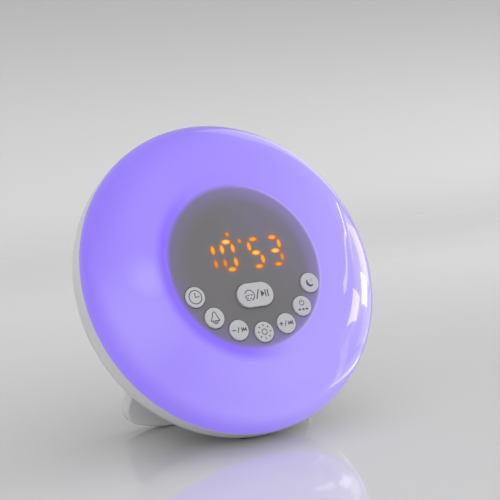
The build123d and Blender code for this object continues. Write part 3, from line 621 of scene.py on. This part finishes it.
# ---- materials
PLASTIC_SHARE = 0.2             # of the dome's colour that room light brings out
LAMP_SHARE = 0.84               # of the dome's colour that the lamp inside brings out
RIM_DIMMING = 0.35                # of its glow by which the dome is made dimmer near the rim on the right
CREASE_HIGHLIGHT_SHARE = 0.12             # of white, painted on as a highlight where the panel's lit edge catches the light
HAZE_SHARE = 0.035              # of amber, round the figures
BURNT_AMBER = 0.2               # of deep amber, the plastic's own colour over the figures
# From where to where a figure's colours come in, by the strength of its glow
OVER_BARS, BAR_EDGE, WARM, HOT = (0.0, 0.6), (0.0, 0.9), (0.25, 1.05), (0.95, 1.45)
DOME_CLOUD = (0.3, 0.7, 0.985, 1.0)
PLASTIC_CLOUD = (0.3, 0.7)
RESIN_CLOUD = (0.2, 0.8)
VIOLET_LIGHT_SPAN = (8.0, 34.0)       # where violet light from the dome is painted on the ink, from the panel's middle
STREAKS = (0.3, 6.0, 6.0)       # a metal's streaks run along x


def new_material(name):
    """A material's tree and shader, its points in the face's millimetres, and as they are."""
    material = bpy.data.materials.new(name)
    material.use_nodes = True
    tree = material.node_tree
    coordinates = tree.nodes.new("ShaderNodeTexCoord").outputs["Object"]
    mapping = tree.nodes.new("ShaderNodeMapping")
    mapping.vector_type = "TEXTURE"
    feed_all(tree, mapping, {"Vector": coordinates, "Location": RIM_CENTRE,
                             "Rotation": (FACE_TURN, 0, 0), "Scale": (MM, MM, MM)})
    return tree, tree.nodes["Principled BSDF"], mapping.outputs["Vector"], coordinates


def add_moulding(tree, shader, point, roughness, spread=0.08, peel=0.05):
    """Feeds the moulded surface's roughness and bump to a shader, and gives its cloud."""
    surface = add_group(tree, bpy.data.node_groups["moulded_surface"], {
        "Point": point, "Roughness": roughness, "Spread": spread, "Peel": peel})
    feed_all(tree, shader, {name: surface[name] for name in ("Roughness", "Normal")})
    return surface["Cloud"]


def dome_material(colours, dome, figures):
    """Milky plastic, lit violet from inside round an unlit panel with glowing figures, with
    painted light and shade laid over the glow.
    """
    tree, shader, face_point, object_point = new_material("lit_dome")
    light = add_group(tree, glow_and_painted_light_group(), {
        "Point": face_point, "Tube Radius": dome.tube_radius / MM,
        "Rim Radius": RIM_RADIUS / MM})
    shown = add_group(tree, figures_group(figures), {"Point": face_point})
    cloud = add_moulding(tree, shader, object_point, roughness=0.34)
    # Painted light: the violet made paler low on the right and at a painted highlight
    violet = blend_colours(tree, light["Pale"], colours.violet, colours.painted_light_violet)
    # Painted shade: the violet made deeper at the edges
    violet = blend_colours(tree, light["Deep"], violet, colours.painted_shade_violet)
    plastic = blend_colours(tree, 1 - PLASTIC_SHARE, violet, BLACK)
    # Painted light: violet light from the dome on the panel's edge
    panel = blend_colours(tree, light["Tint"], colours.panel, colours.panel_spill_light)
    panel = blend_colours(tree, ramp(tree, shown["Core"], *OVER_BARS), panel,
                          scaled(colours.deep_amber, BURNT_AMBER))
    lamp_share = maths(tree, "MULTIPLY", light["Lit"], ramp(tree, cloud, *DOME_CLOUD))
    # The glow made dimmer near the rim on the right
    rim_dimmed = maths(tree, "MULTIPLY_ADD", light["Rim Dimming"], -RIM_DIMMING, LAMP_SHARE)
    lamp_share = maths(tree, "MULTIPLY", lamp_share, rim_dimmed)
    glow = blend_colours(tree, lamp_share, BLACK, violet)
    # A painted white highlight on the crease, then the amber haze round the figures
    for share, strength, tone in ((light["Crease Highlight"], CREASE_HIGHLIGHT_SHARE, WHITE),
                                  (shown["Haze"], HAZE_SHARE, colours.amber)):
        glow = blend_colours(tree, maths(tree, "MULTIPLY", share, strength), glow, tone)
    bar = colours.deep_amber
    for reach, tone in ((WARM, colours.amber), (HOT, colours.hot_amber)):
        bar = blend_colours(tree, ramp(tree, shown["Core"], *reach), bar, tone)
    feed_all(tree, shader, {
        "Base Color": blend_colours(tree, light["Lit"], panel, plastic),
        "Emission Color": blend_colours(tree, ramp(tree, shown["Core"], *BAR_EDGE), glow, bar),
        "Coat Weight": light["Gloss"], "Emission Strength": 1.0, "Specular IOR Level": 0.2,
        "Coat Roughness": 0.02})


def ink_material(colours):
    """Printed ink, with the dome's violet light painted on it towards the bright side of the
    panel.
    """
    tree, shader, face_point, object_point = new_material("key_ink")
    add_moulding(tree, shader, object_point, roughness=0.55)
    right = vector_maths(tree, "DOT_PRODUCT", face_point, (1, 0, 0))
    feed_all(tree, shader, {"Base Color": blend_colours(
        tree, ramp(tree, right, *VIOLET_LIGHT_SPAN), colours.ink, colours.ink_in_violet_light)})


def plastic_material(name, tone, roughness, coat=0.0, cloudiness=0.03, peel=0.05):
    """Plain moulded plastic with a faint cloudiness."""
    tree, shader, _, object_point = new_material(name)
    cloud = add_moulding(tree, shader, object_point, roughness, peel=peel)
    feed_all(tree, shader, {
        "Base Color": toned(tree, ramp(tree, cloud, *PLASTIC_CLOUD), tone, 1 - cloudiness),
        "Coat Weight": coat, "Coat Roughness": 0.08})


def metal_material(name, tone, roughness):
    """Plated or painted steel with fine turning marks."""
    tree, shader, face_point, object_point = new_material(name)
    add_moulding(tree, shader, object_point, roughness, spread=0.15, peel=0.2)
    streak = noise(tree, vector_maths(tree, "MULTIPLY", face_point, STREAKS), 1.0, detail=4.0)
    feed_all(tree, shader, {"Base Color": toned(tree, streak, tone, darkest=0.86),
                            "Metallic": 1.0})


def resin_material(name, tone, glow):
    """Clear resin, lit from behind or dull."""
    tree, shader, _, object_point = new_material(name)
    cloud = add_moulding(tree, shader, object_point, roughness=0.3)
    base = toned(tree, ramp(tree, cloud, *RESIN_CLOUD), tone, darkest=0.9)
    feed_all(tree, shader, {"Base Color": base, "Emission Color": base,
                            "Emission Strength": glow})


PLASTICS = {                    # colour, roughness, coat, cloudiness, peel
    "foot_rubber": ((0.028, 0.028, 0.03), 0.75, 0.0, 0.2, 0.5),
    "dark_plastic": ((0.018, 0.018, 0.02), 0.45, 0.0, 0.15),
    "reflector_white": ((0.82, 0.82, 0.80), 0.4),
    "board_green": ((0.01, 0.11, 0.045), 0.3, 0.3, 0.2),
    "board_white": ((0.8, 0.8, 0.78), 0.35),
    "soft_foam": ((0.03, 0.03, 0.03), 0.9, 0.0, 0.3, 0.8),
    "cone_paper": ((0.02, 0.02, 0.02), 0.85, 0.0, 0.3, 0.8),
    "cell_wrap": ((0.05, 0.07, 0.13), 0.25, 0.3),
    "ribbon_jacket": ((0.33, 0.33, 0.33), 0.5),
    "led_resin": ((0.75, 0.72, 0.55), 0.3),
}
METALS = {                      # colour, roughness
    "plated_steel": ((0.56, 0.56, 0.54), 0.32),
    "bright_nickel": ((0.66, 0.64, 0.60), 0.2),
    "painted_steel": ((0.05, 0.05, 0.055), 0.4),
}


# ---- operators
class CLOCK_OT_materials(bpy.types.Operator):
    """Make the lamp's finishes"""

    bl_idname = "clock.materials"
    bl_label = "Finishes"

    def execute(self, context):
        scene = context.scene
        colours = scene.clock_colours
        moulding_group()
        dome_material(colours, scene.clock_dome, scene.clock_figures)
        ink_material(colours)
        plastic_material("key_cap", colours.key, 0.38, cloudiness=0.02)
        plastic_material("gloss_shell", colours.white, 0.2, coat=0.4)
        for name, looks in PLASTICS.items():
            plastic_material(name, *looks)
        for name, looks in METALS.items():
            metal_material(name, *looks)
        resin_material("amber_bar", colours.amber, 1.0)
        resin_material("dull_bar", scaled(colours.amber, 0.12), 0.0)
        return {"FINISHED"}


SIDE_STEPS, BROW_STEPS, BLEND_STEPS, EDGE_STEPS = 26, 10, 6, 3     # along the dome's arcs
HOLE_SIDES, HOLE_DEPTH = 72, 12 * MM


class CLOCK_OT_front_dome(bpy.types.Operator):
    """Turn the milky dome and cut the holes for the keys"""

    bl_idname = "clock.front_dome"
    bl_label = "Front dome"

    def execute(self, context):
        sizes = context.scene.clock_dome
        keys = context.scene.clock_keys
        lip = RIM_RADIUS - sizes.lip_step
        edge = RIM_RADIUS - sizes.edge
        profile = dome_profile(sizes, sizes.wall)[::-1]
        profile += [(lip - sizes.lip_wall, -sizes.lip_length), (lip, -sizes.lip_length),
                    (lip, 0.0), (edge, 0.0)]
        profile += arc((edge, sizes.edge), sizes.edge, sizes.edge, -60, 0, EDGE_STEPS)
        profile += dome_profile(sizes, 0.0)
        dome = lathe("dome_shell", profile, sizes.steps)
        plugs = [hole_plug(key, keys.radius + keys.gap, sizes.panel_height)
                 for key in RING_KEYS]
        plugs.append(stretched(hole_plug("snooze_key", keys.snooze_height / 2 + keys.gap,
                                         sizes.panel_height), keys))
        cut(dome, joined(plugs, "key_holes"))
        smooth(dome, degrees=24)
        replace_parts(place(dome, "housing", "lit_dome"), "front_dome")
        return {"FINISHED"}


def dome_profile(sizes, inset):
    """Outline of the dome from its side to the middle of the panel, moved in by inset."""
    side = RIM_RADIUS - sizes.peak_radius - inset
    height = sizes.peak_height - inset
    start = math.degrees(math.asin(sizes.edge / height)) if inset == 0 else 0
    points = arc((sizes.peak_radius, 0), side, height, start, 90, SIDE_STEPS)
    run = sizes.peak_radius - sizes.brow_radius
    turn = 2 * math.atan((sizes.peak_height - sizes.brow_height) / run)
    radius = run / math.sin(turn)
    brow_middle = (sizes.peak_radius, height - radius)
    points += arc(brow_middle, radius, radius, 90, 90 + math.degrees(turn), BROW_STEPS)[1:]
    panel_height = sizes.panel_height - inset
    bevel = math.atan2(sizes.brow_height - sizes.panel_height,
                       sizes.brow_radius - sizes.panel_radius)
    blend_middle = (sizes.panel_radius - sizes.bevel_blend * math.tan(bevel / 2),
                    panel_height + sizes.bevel_blend)
    points += arc(blend_middle, sizes.bevel_blend, sizes.bevel_blend,
                  -90 + math.degrees(bevel), -90, BLEND_STEPS)
    return points + [(sizes.panel_radius - sizes.bevel_blend, panel_height), (0.0, panel_height)]


def hole_plug(key, radius, height):
    """A plug for a key's round hole through the panel."""
    clear_selection()
    bpy.ops.mesh.primitive_cylinder_add(vertices=HOLE_SIDES, radius=radius, depth=HOLE_DEPTH,
                                        location=key_spot(key) + Vector((0, 0, height)))
    return bpy.context.object


def stretched(piece, keys):
    """Pulls a round piece's two halves apart along x, to the long key's length."""
    half = (keys.snooze_length - keys.snooze_height) / 2
    for vertex in piece.data.vertices:
        vertex.co.x += math.copysign(half, vertex.co.x)
    return piece


KEY_STEPS, KEY_EDGE_STEPS = 64, 6   # round a key, and over its rounded edge


def turned_key(name, keys, top, radius):
    """A key with its flat top, rounded edge, flange and stem."""
    flange, flange_low = radius + keys.flange, keys.flange_top - keys.flange_wall
    points = [(0.0, keys.stem_end), (keys.stem_radius, keys.stem_end),
              (keys.stem_radius, flange_low), (flange, flange_low), (flange, keys.flange_top),
              (radius, keys.flange_top), (radius, top - keys.edge)]
    points += arc((radius - keys.edge, top - keys.edge), keys.edge, keys.edge, 0, 90,
                  KEY_EDGE_STEPS)[1:]
    points += [(radius - 2 * keys.edge, top), (0.0, top)]
    return lathe(name, points, KEY_STEPS)


class CLOCK_OT_keys(bpy.types.Operator):
    """Model the eight keys"""

    bl_idname = "clock.keys"
    bl_label = "Keys"

    def execute(self, context):
        keys = context.scene.clock_keys
        pattern = turned_key("key_pattern", keys, keys.top, keys.radius)
        smooth(pattern, degrees=40)
        for name in RING_KEYS:
            key = copied(pattern, name.replace("_key", "_button"))
            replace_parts(place_at_key(key, name, "key_cap"), name)
        bpy.data.objects.remove(pattern)
        snooze = stretched(turned_key("snooze_button", keys, keys.snooze_top,
                                      keys.snooze_height / 2), keys)
        smooth(snooze, degrees=40)
        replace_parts(place_at_key(snooze, "snooze_key", "key_cap"), "snooze_key")
        return {"FINISHED"}


# ---- printed marks
SHARPEST = 0.5                  # a mitre is no longer than a line's width over this


class Ink:
    """Draws a mark's lines and shapes, in millimetres from the key's middle."""

    def __init__(self, keys, top):
        self.width = keys.stroke / MM
        self.low = top - keys.print_height
        self.high = top + keys.print_height
        self.pieces = []

    def shape(self, points):
        """A filled outline."""
        metres = [(x * MM, y * MM) for x, y in points]
        self.pieces.append(prism(metres, self.low, self.high))

    def disc(self, x, y, radius):
        """A filled circle of 24 sides."""
        self.shape(arc((x, y), radius, radius, 0, 345, 23))

    def line(self, points, width=None):
        """An open line of even width, with mitred corners."""
        half = (width or self.width) / 2
        left, right = [], []
        for i, point in enumerate(points):
            here = Vector(point)
            before = (here - Vector(points[i - 1])).normalized() if i else None
            after = ((Vector(points[i + 1]) - here).normalized() if i < len(points) - 1
                     else None)
            along = ((before or after) + (after or before)).normalized()
            side = Vector((-along.y, along.x)) * (
                half / max(SHARPEST, along.dot(after or before)))
            left.append(here + side)
            right.append(here - side)
        self.shape([tuple(point) for point in left + right[::-1]])

    def curve(self, x, y, radius, start, end, steps=20, radius_y=None):
        """A line along an arc."""
        self.line(arc((x, y), radius, radius_y or radius, start, end, steps))

    def ring(self, x, y, radius):
        """A closed circle, drawn as two half turns."""
        self.curve(x, y, radius, 0, 180)
        self.curve(x, y, radius, 180, 360)


def draw_clock(ink):
    """A dial with two hands."""
    ink.ring(0, 0, 3.5)
    ink.line([(0, 2.2), (0, 0), (2.3, 0)])


def draw_bell(ink):
    """A bell over its clapper."""
    ink.curve(0, 2.2, 0.9, 20, 160, 10)
    for side in (-1, 1):
        ink.line([(side * 0.85, 2.45), (side * 1.5, 0.4), (side * 2.4, -1.3)])
        ink.line([(side * 2.3, -1.2), (side * 2.35, -1.7)], 0.6)
    ink.line([(-2.5, -1.55), (2.5, -1.55)])
    ink.curve(0, -1.7, 1.5, 185, 355, 10, radius_y=1.3)
    ink.line([(-0.6, -2.2), (0.6, -2.2)])


def skip_sign(ink, x, way):
    """Two small triangles against a bar, pointing one way."""
    half_height, reach = 1.2, 1.25
    start = x - way * 1.6
    for i in range(2):
        base = start + way * i * reach
        ink.shape([(base, half_height), (base, -half_height), (base + way * reach, 0)])
    bar = start + way * (2 * reach + 0.2)
    ink.line([(bar, half_height), (bar, -half_height)], 0.5)


def draw_minus(ink, shift=0.0, way=-1):
    """Less, or the last tune."""
    ink.line([(shift - 4.2, 0), (shift - 2.0, 0)], 0.5)
    ink.line([(shift, 1.4), (shift - 1.0, -1.4)], 0.45)
    skip_sign(ink, shift + 2.6, way)


def draw_plus(ink):
    """More, or the next tune."""
    draw_minus(ink, shift=-0.1, way=1)
    ink.line([(-3.2, 1.1), (-3.2, -1.1)], 0.5)


def draw_sun(ink):
    """A sun with eight short rays."""
    ink.ring(0, 0, 1.45)
    for i in range(8):
        turn = math.radians(45 * i)
        ink.line([(r * math.cos(turn), r * math.sin(turn)) for r in (3.0, 4.0)], 0.55)


def draw_power(ink):
    """A power sign over a row of three short bars."""
    ink.curve(0, 1.7, 1.35, 125, 415, 20)
    ink.line([(0, 3.6), (0, 1.9)])
    for x in (-2.2, 0, 2.2):
        ink.line([(x - 0.75, -1.9), (x + 0.75, -1.9)], 0.85)


def draw_moon(ink):
    """A crescent moon and three small stars."""
    outer = arc((0, 0), 2.3, 2.3, 135, 318, 24)
    inner = arc((0.85, 0.85), 2.1, 2.1, 304, 154, 20)
    ink.shape(outer + inner)
    for x, y, radius in ((0.7, 1.2, 0.26), (1.5, 0.7, 0.2), (1.4, 1.9, 0.2)):
        ink.disc(x, y, radius)


def draw_snooze(ink):
    """A sleeper's head with drowsy marks, a stroke, and play and pause."""
    x, y = -3.6, -0.1
    ink.curve(x, y, 2.8, -75, 160, 26)
    ink.curve(x, y, 2.8, 240, 265, 5)
    for side in (-1, 1):
        ink.curve(x + 0.2 + side, y + 0.6, 0.6, 200, 340, 6)
    ink.curve(x + 0.4, y - 1.3, 0.5, 200, 340, 6)
    for across, up, size in ((-2.3, -0.6, 0.5), (-1.7, -1.9, 0.6)):
        left, right = x + across - size, x + across + size
        low, high = y + up - size, y + up + size
        ink.line([(left, high), (right, high), (left, low), (right, low)], 0.34)
    ink.line([(2.2, 2.6), (0.1, -2.4)], 0.6)
    ink.shape([(3.2, 2.0), (3.2, -1.7), (5.3, 0.15)])
    for bar in (5.9, 7.3):
        ink.line([(bar, 2.0), (bar, -1.7)], 0.6)


MARKS = {
    "time_key": draw_clock, "alarm_key": draw_bell, "minus_key": draw_minus,
    "light_key": draw_sun, "plus_key": draw_plus, "power_key": draw_power,
    "sleep_key": draw_moon, "snooze_key": draw_snooze,
}


class CLOCK_OT_marks(bpy.types.Operator):
    """Print the marks on the keys"""

    bl_idname = "clock.marks"
    bl_label = "Marks"

    def execute(self, context):
        keys = context.scene.clock_keys
        for key, draw in MARKS.items():
            ink = Ink(keys, keys.snooze_top if key == "snooze_key" else keys.top)
            draw(ink)
            place_at_key(joined(ink.pieces, key.replace("_key", "_mark")), key, "key_ink")
        return {"FINISHED"}


# ---- the frame's own pieces
SMOOTHED = {                    # name, body, slot, finish
    "rear_bowl": ("bowl_shell", "housing", "white_gloss", "gloss_shell"),
    "stand": ("stand_paddle", "stand", "white_gloss", "gloss_shell"),
    "battery_door": ("bay_cover", "battery_door", "white_gloss", "gloss_shell"),
    "bowl_pad": ("front_rubber", "housing", "black_rubber", "foot_rubber"),
    "stand_pad": ("stand_rubber", "stand", "black_rubber", "foot_rubber"),
    "hinge_pin": ("stand_pin", "housing", "pin_steel", "plated_steel"),
    "case_screws": ("shell_screws", "housing", "zinc_steel", "plated_steel"),
    "power_socket": ("inlet_shell", "housing", "nickel", "bright_nickel"),
}


class CLOCK_OT_shell(bpy.types.Operator):
    """Smooth the white shell, the stand and what shows at the back"""

    bl_idname = "clock.shell"
    bl_label = "Shell"

    def execute(self, context):
        for node, (name, body, slot, finish) in SMOOTHED.items():
            piece = copied(frame["nodes"][node], name)
            piece.parent = None
            piece.hide_render = False
            pick(piece)
            enter_edit()
            bpy.ops.mesh.remove_doubles(threshold=SHELL_MERGE)
            leave_edit()
            smooth(piece, degrees=28)
            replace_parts(place(piece, body, finish, Matrix()), node)
        return {"FINISHED"}


CAD_FINISHES = {
    "plated_steel": ("pan_screws", "key_board_screws", "power_board_screws", "speaker_screws"),
    "board_green": ("key_board", "power_board"), "board_white": ("led_ring_board",),
    "reflector_white": ("reflector_pan",),
    "dark_plastic": ("display_mask", "light_baffle", "board_components", "key_switches"),
    "amber_bar": ("lit_segments",), "dull_bar": ("dark_segments",),
    "led_resin": ("colour_leds",), "painted_steel": ("speaker_frame", "speaker_magnet"),
    "cone_paper": ("speaker_cone",), "soft_foam": ("speaker_gasket",),
    "cell_wrap": ("battery_cells",), "bright_nickel": ("battery_contacts",),
    "ribbon_jacket": ("ribbon_cable",),
}


class CLOCK_OT_frame_finishes(bpy.types.Operator):
    """Finish the pieces that come with the frame"""

    bl_idname = "clock.frame_finishes"
    bl_label = "Frame finishes"

    def execute(self, context):
        for finish, nodes in CAD_FINISHES.items():
            for node in nodes:
                set_finish(frame["nodes"][node], finish)
        return {"FINISHED"}


# ---- stage
FLOOR_SIZE, FLOOR_PLACE = (4.0, 3.0, 1.0), (0, -0.7, 0)     # in metres, as are the next ones
WALL_HEIGHT, WALL_BEND, BEND_STEPS = 2.0, 0.5, 24
WALL_TINT = (0.0, 0.3)          # heights between which the backdrop's colour comes in
FLOOR_GLOSS = (0.0, 0.05)       # heights between which the floor's gloss ends
SENSOR_WIDTH = 36.0
SKY_COLOUR = (0.97, 0.97, 0.98, 1.0)
SKY_STRENGTH = 1.14             # of the soft sky, on surfaces
SKY_SLOPE = 0.3                 # how much brighter it is low on the right, and dimmer opposite
DIM_SKY = (-0.5, 0.1, 0.86)     # towards the sky's dim side
SKY_FADE = (-0.7, 0.9)          # steps along that way between which the sky dims
SHINE_STRENGTH = 0.5            # of the same sky, where it shows in gloss
# Name, azimuth, elevation, width, height, tilt, brightness
SOFT_LAMPS = (
    ("key_lamp", -35, 42, 44, 40, 0, 0.25),
    ("side_lamp", 95, 30, 30, 40, 0, 1.7),
    ("top_lamp", 165, 74, 50, 50, 0, 0.85),
    ("low_lamp", -54, 6, 44, 12, 0, 2.6),
)
WINDOW_PANES = (
    ("near_head", 57, 30.4, 27, 0.9, -10.5, 6.0),
    ("far_head", 83.5, 26.2, 28, 1.1, -10.5, 6.5),
    ("upper_bar", 80, 23.6, 34, 0.9, -10, 3.0),
    ("near_pane", 57.5, 17.2, 17, 6.4, -40, 7.5),
    ("bright_pane", 80.5, 7.2, 20, 8, -34, 7.5),
    ("wide_pane", 94, 10.5, 28, 14, -32, 2.1),
    ("dim_pane", 80, 14, 44, 20, -16, 0.9),
    ("low_pane", 92, -8, 34, 14, -16, 1.0),
    ("near_frame", 60, -6, 36, 5, -66, 1.3),
    ("sill_edge", 86, -25.5, 38, 3.2, 3, 3.2),
    ("sill_front", 84, -20, 40, 9, 3, 0.6),
    ("far_wall", 127, 30, 24, 44, 0, 0.9),
)


class CLOCK_OT_stage(bpy.types.Operator):
    """Lay the floor and set the camera and the lamps"""

    bl_idname = "clock.stage"
    bl_label = "Studio"

    def execute(self, context):
        settings = context.scene.clock_studio
        lay_floor(settings)
        set_camera(settings)
        set_lamps(settings)
        set_window(settings)
        context.scene.view_settings.view_transform = "Standard"
        return {"FINISHED"}


def lay_floor(settings):
    """A pale glossy floor that curves up into a backdrop."""
    clear_selection()
    bpy.ops.mesh.primitive_plane_add(size=1.0, location=(0, 0, 0))
    floor = named(bpy.context.object, "studio_floor")
    floor.scale = FLOOR_SIZE
    floor.location = FLOOR_PLACE
    bpy.ops.object.transform_apply(location=True, rotation=True, scale=True)
    enter_edit("DESELECT")
    leave_edit()
    for vertex in floor.data.vertices:
        vertex.select = vertex.co.y > 0
    bpy.ops.object.mode_set(mode="EDIT")
    bpy.ops.mesh.extrude_region_move(TRANSFORM_OT_translate={"value": (0, 0, WALL_HEIGHT)})
    leave_edit()
    bend = floor.modifiers.new("bend", "BEVEL")
    bend.width = WALL_BEND
    bend.segments = BEND_STEPS
    bpy.ops.object.modifier_apply(modifier=bend.name)
    smooth(floor, degrees=40)
    tree, shader, _, object_point = new_material("studio_floor")
    cloud = noise(tree, object_point, scale=2.0, detail=3.0)
    base = toned(tree, cloud, settings.floor, darkest=0.98)
    height = vector_maths(tree, "DOT_PRODUCT", object_point, (0, 0, 1))
    feed_all(tree, shader, {
        "Base Color": blend_colours(tree, ramp(tree, height, *WALL_TINT), base, settings.wall),
        "Roughness": ramp(tree, height, *FLOOR_GLOSS, 0.1, 0.9),
        "Coat Weight": ramp(tree, height, *FLOOR_GLOSS, 1.0, 0.0), "Coat Roughness": 0.03})
    set_finish(floor, "studio_floor")


def directions(turn, rise):
    """Outward from the rim's middle and to the right there, for a turn round it and a rise."""
    outward = Vector((math.sin(turn) * math.cos(rise), -math.cos(turn) * math.cos(rise),
                      math.sin(rise)))
    return outward, Vector((math.cos(turn), math.sin(turn), 0))


def set_camera(settings):
    """The camera, to the lamp's left and a little above it."""
    back, right = directions(settings.azimuth, settings.elevation)
    spot = RIM_CENTRE + back * settings.distance + right * settings.shift_x
    spot += back.cross(right) * settings.shift_y
    bpy.ops.object.camera_add(location=spot)
    camera = bpy.context.object
    camera.name = "studio_camera"
    camera.rotation_mode = "QUATERNION"
    camera.rotation_quaternion = (-back).to_track_quat("-Z", "Y")
    camera.data.sensor_width = SENSOR_WIDTH
    camera.data.lens = settings.lens
    camera.data.clip_start = 0.01
    bpy.context.scene.camera = camera


def add_lamp(settings, name, azimuth, elevation, width, height, tilt, brightness):
    """A rectangular lamp round the rim's middle, all angles in degrees, 1 as bright as white."""
    outward, right = directions(math.radians(azimuth), math.radians(elevation))
    along = Quaternion(outward, math.radians(tilt)) @ right
    distance = settings.lamp_distance
    bpy.ops.object.light_add(type="AREA", location=RIM_CENTRE + outward * distance)
    lamp = bpy.context.object
    lamp.name = name
    lamp.data.shape = "RECTANGLE"
    lamp.data.size, lamp.data.size_y = (
        2 * distance * math.tan(math.radians(side / 2)) for side in (width, height))
    lamp.data.energy = brightness * math.pi * lamp.data.size * lamp.data.size_y
    lamp.rotation_mode = "QUATERNION"
    sides = Matrix((along, outward.cross(along), outward)).transposed()
    lamp.rotation_quaternion = sides.to_quaternion()
    return lamp


def set_lamps(settings):
    """Soft lamps that light the surfaces without showing in them, and a soft sky."""
    for name, *where in SOFT_LAMPS:
        add_lamp(settings, name, *where).visible_glossy = False
    world = bpy.data.worlds.new("studio_sky")
    bpy.context.scene.world = world
    world.use_nodes = True
    tree = world.node_tree
    rays = tree.nodes.new("ShaderNodeLightPath").outputs["Is Glossy Ray"]
    direction = tree.nodes.new("ShaderNodeTexCoord").outputs["Generated"]
    towards_dim = vector_maths(tree, "DOT_PRODUCT", direction, DIM_SKY)
    level = ramp(tree, towards_dim, *SKY_FADE, SKY_STRENGTH + SKY_SLOPE,
                 SKY_STRENGTH - SKY_SLOPE)
    glossy = maths(tree, "SUBTRACT", SHINE_STRENGTH, level)
    feed_all(tree, tree.nodes["Background"], {
        "Color": SKY_COLOUR, "Strength": maths(tree, "MULTIPLY_ADD", rays, glossy, level)})


def set_window(settings):
    """A window to the right, which only shows as a reflection in the lamp, not in the floor."""
    receivers = bpy.data.collections.new("all_but_the_floor")
    receivers.objects.link(bpy.data.objects["studio_floor"])
    receivers.collection_objects[0].light_linking.link_state = "EXCLUDE"
    for name, *where in WINDOW_PANES:
        pane = add_lamp(settings, name, *where)
        pane.visible_diffuse = False
        pane.light_linking.receiver_collection = receivers
        pane.light_linking.blocker_collection = receivers


# ---- the add-on
class CLOCK_PT_sidebar(bpy.types.Panel):
    """Lists the steps in the sidebar"""

    bl_idname = "CLOCK_PT_sidebar"
    bl_label = "Sunrise Alarm Clock"
    bl_space_type = "VIEW_3D"
    bl_region_type = "UI"
    bl_category = "Alarm Clock"

    def draw(self, context):
        for step in STEPS:
            self.layout.operator(step.bl_idname)


GROUPS = {
    "clock_dome": DomeSizes, "clock_keys": KeySizes, "clock_figures": FigureSizes,
    "clock_colours": LampColours, "clock_studio": StudioSettings,
}
STEPS = (CLOCK_OT_stage, CLOCK_OT_materials, CLOCK_OT_front_dome, CLOCK_OT_keys,
         CLOCK_OT_marks, CLOCK_OT_shell, CLOCK_OT_frame_finishes)
CLASSES = (*GROUPS.values(), *STEPS, CLOCK_PT_sidebar)


def register():
    """Registers the classes and hangs the settings on the scene."""
    for kind in CLASSES:
        bpy.utils.register_class(kind)
    for name, kind in GROUPS.items():
        setattr(bpy.types.Scene, name, bpy.props.PointerProperty(type=kind))


def unregister():
    """Takes the settings and the classes away again."""
    for name in GROUPS:
        delattr(bpy.types.Scene, name)
    for kind in reversed(CLASSES):
        bpy.utils.unregister_class(kind)


def main():
    """Runs every step."""
    register()
    for step in STEPS:
        getattr(bpy.ops.clock, step.bl_idname.split(".")[1])()
    clear_selection()


if __name__ == "__main__":
    main()
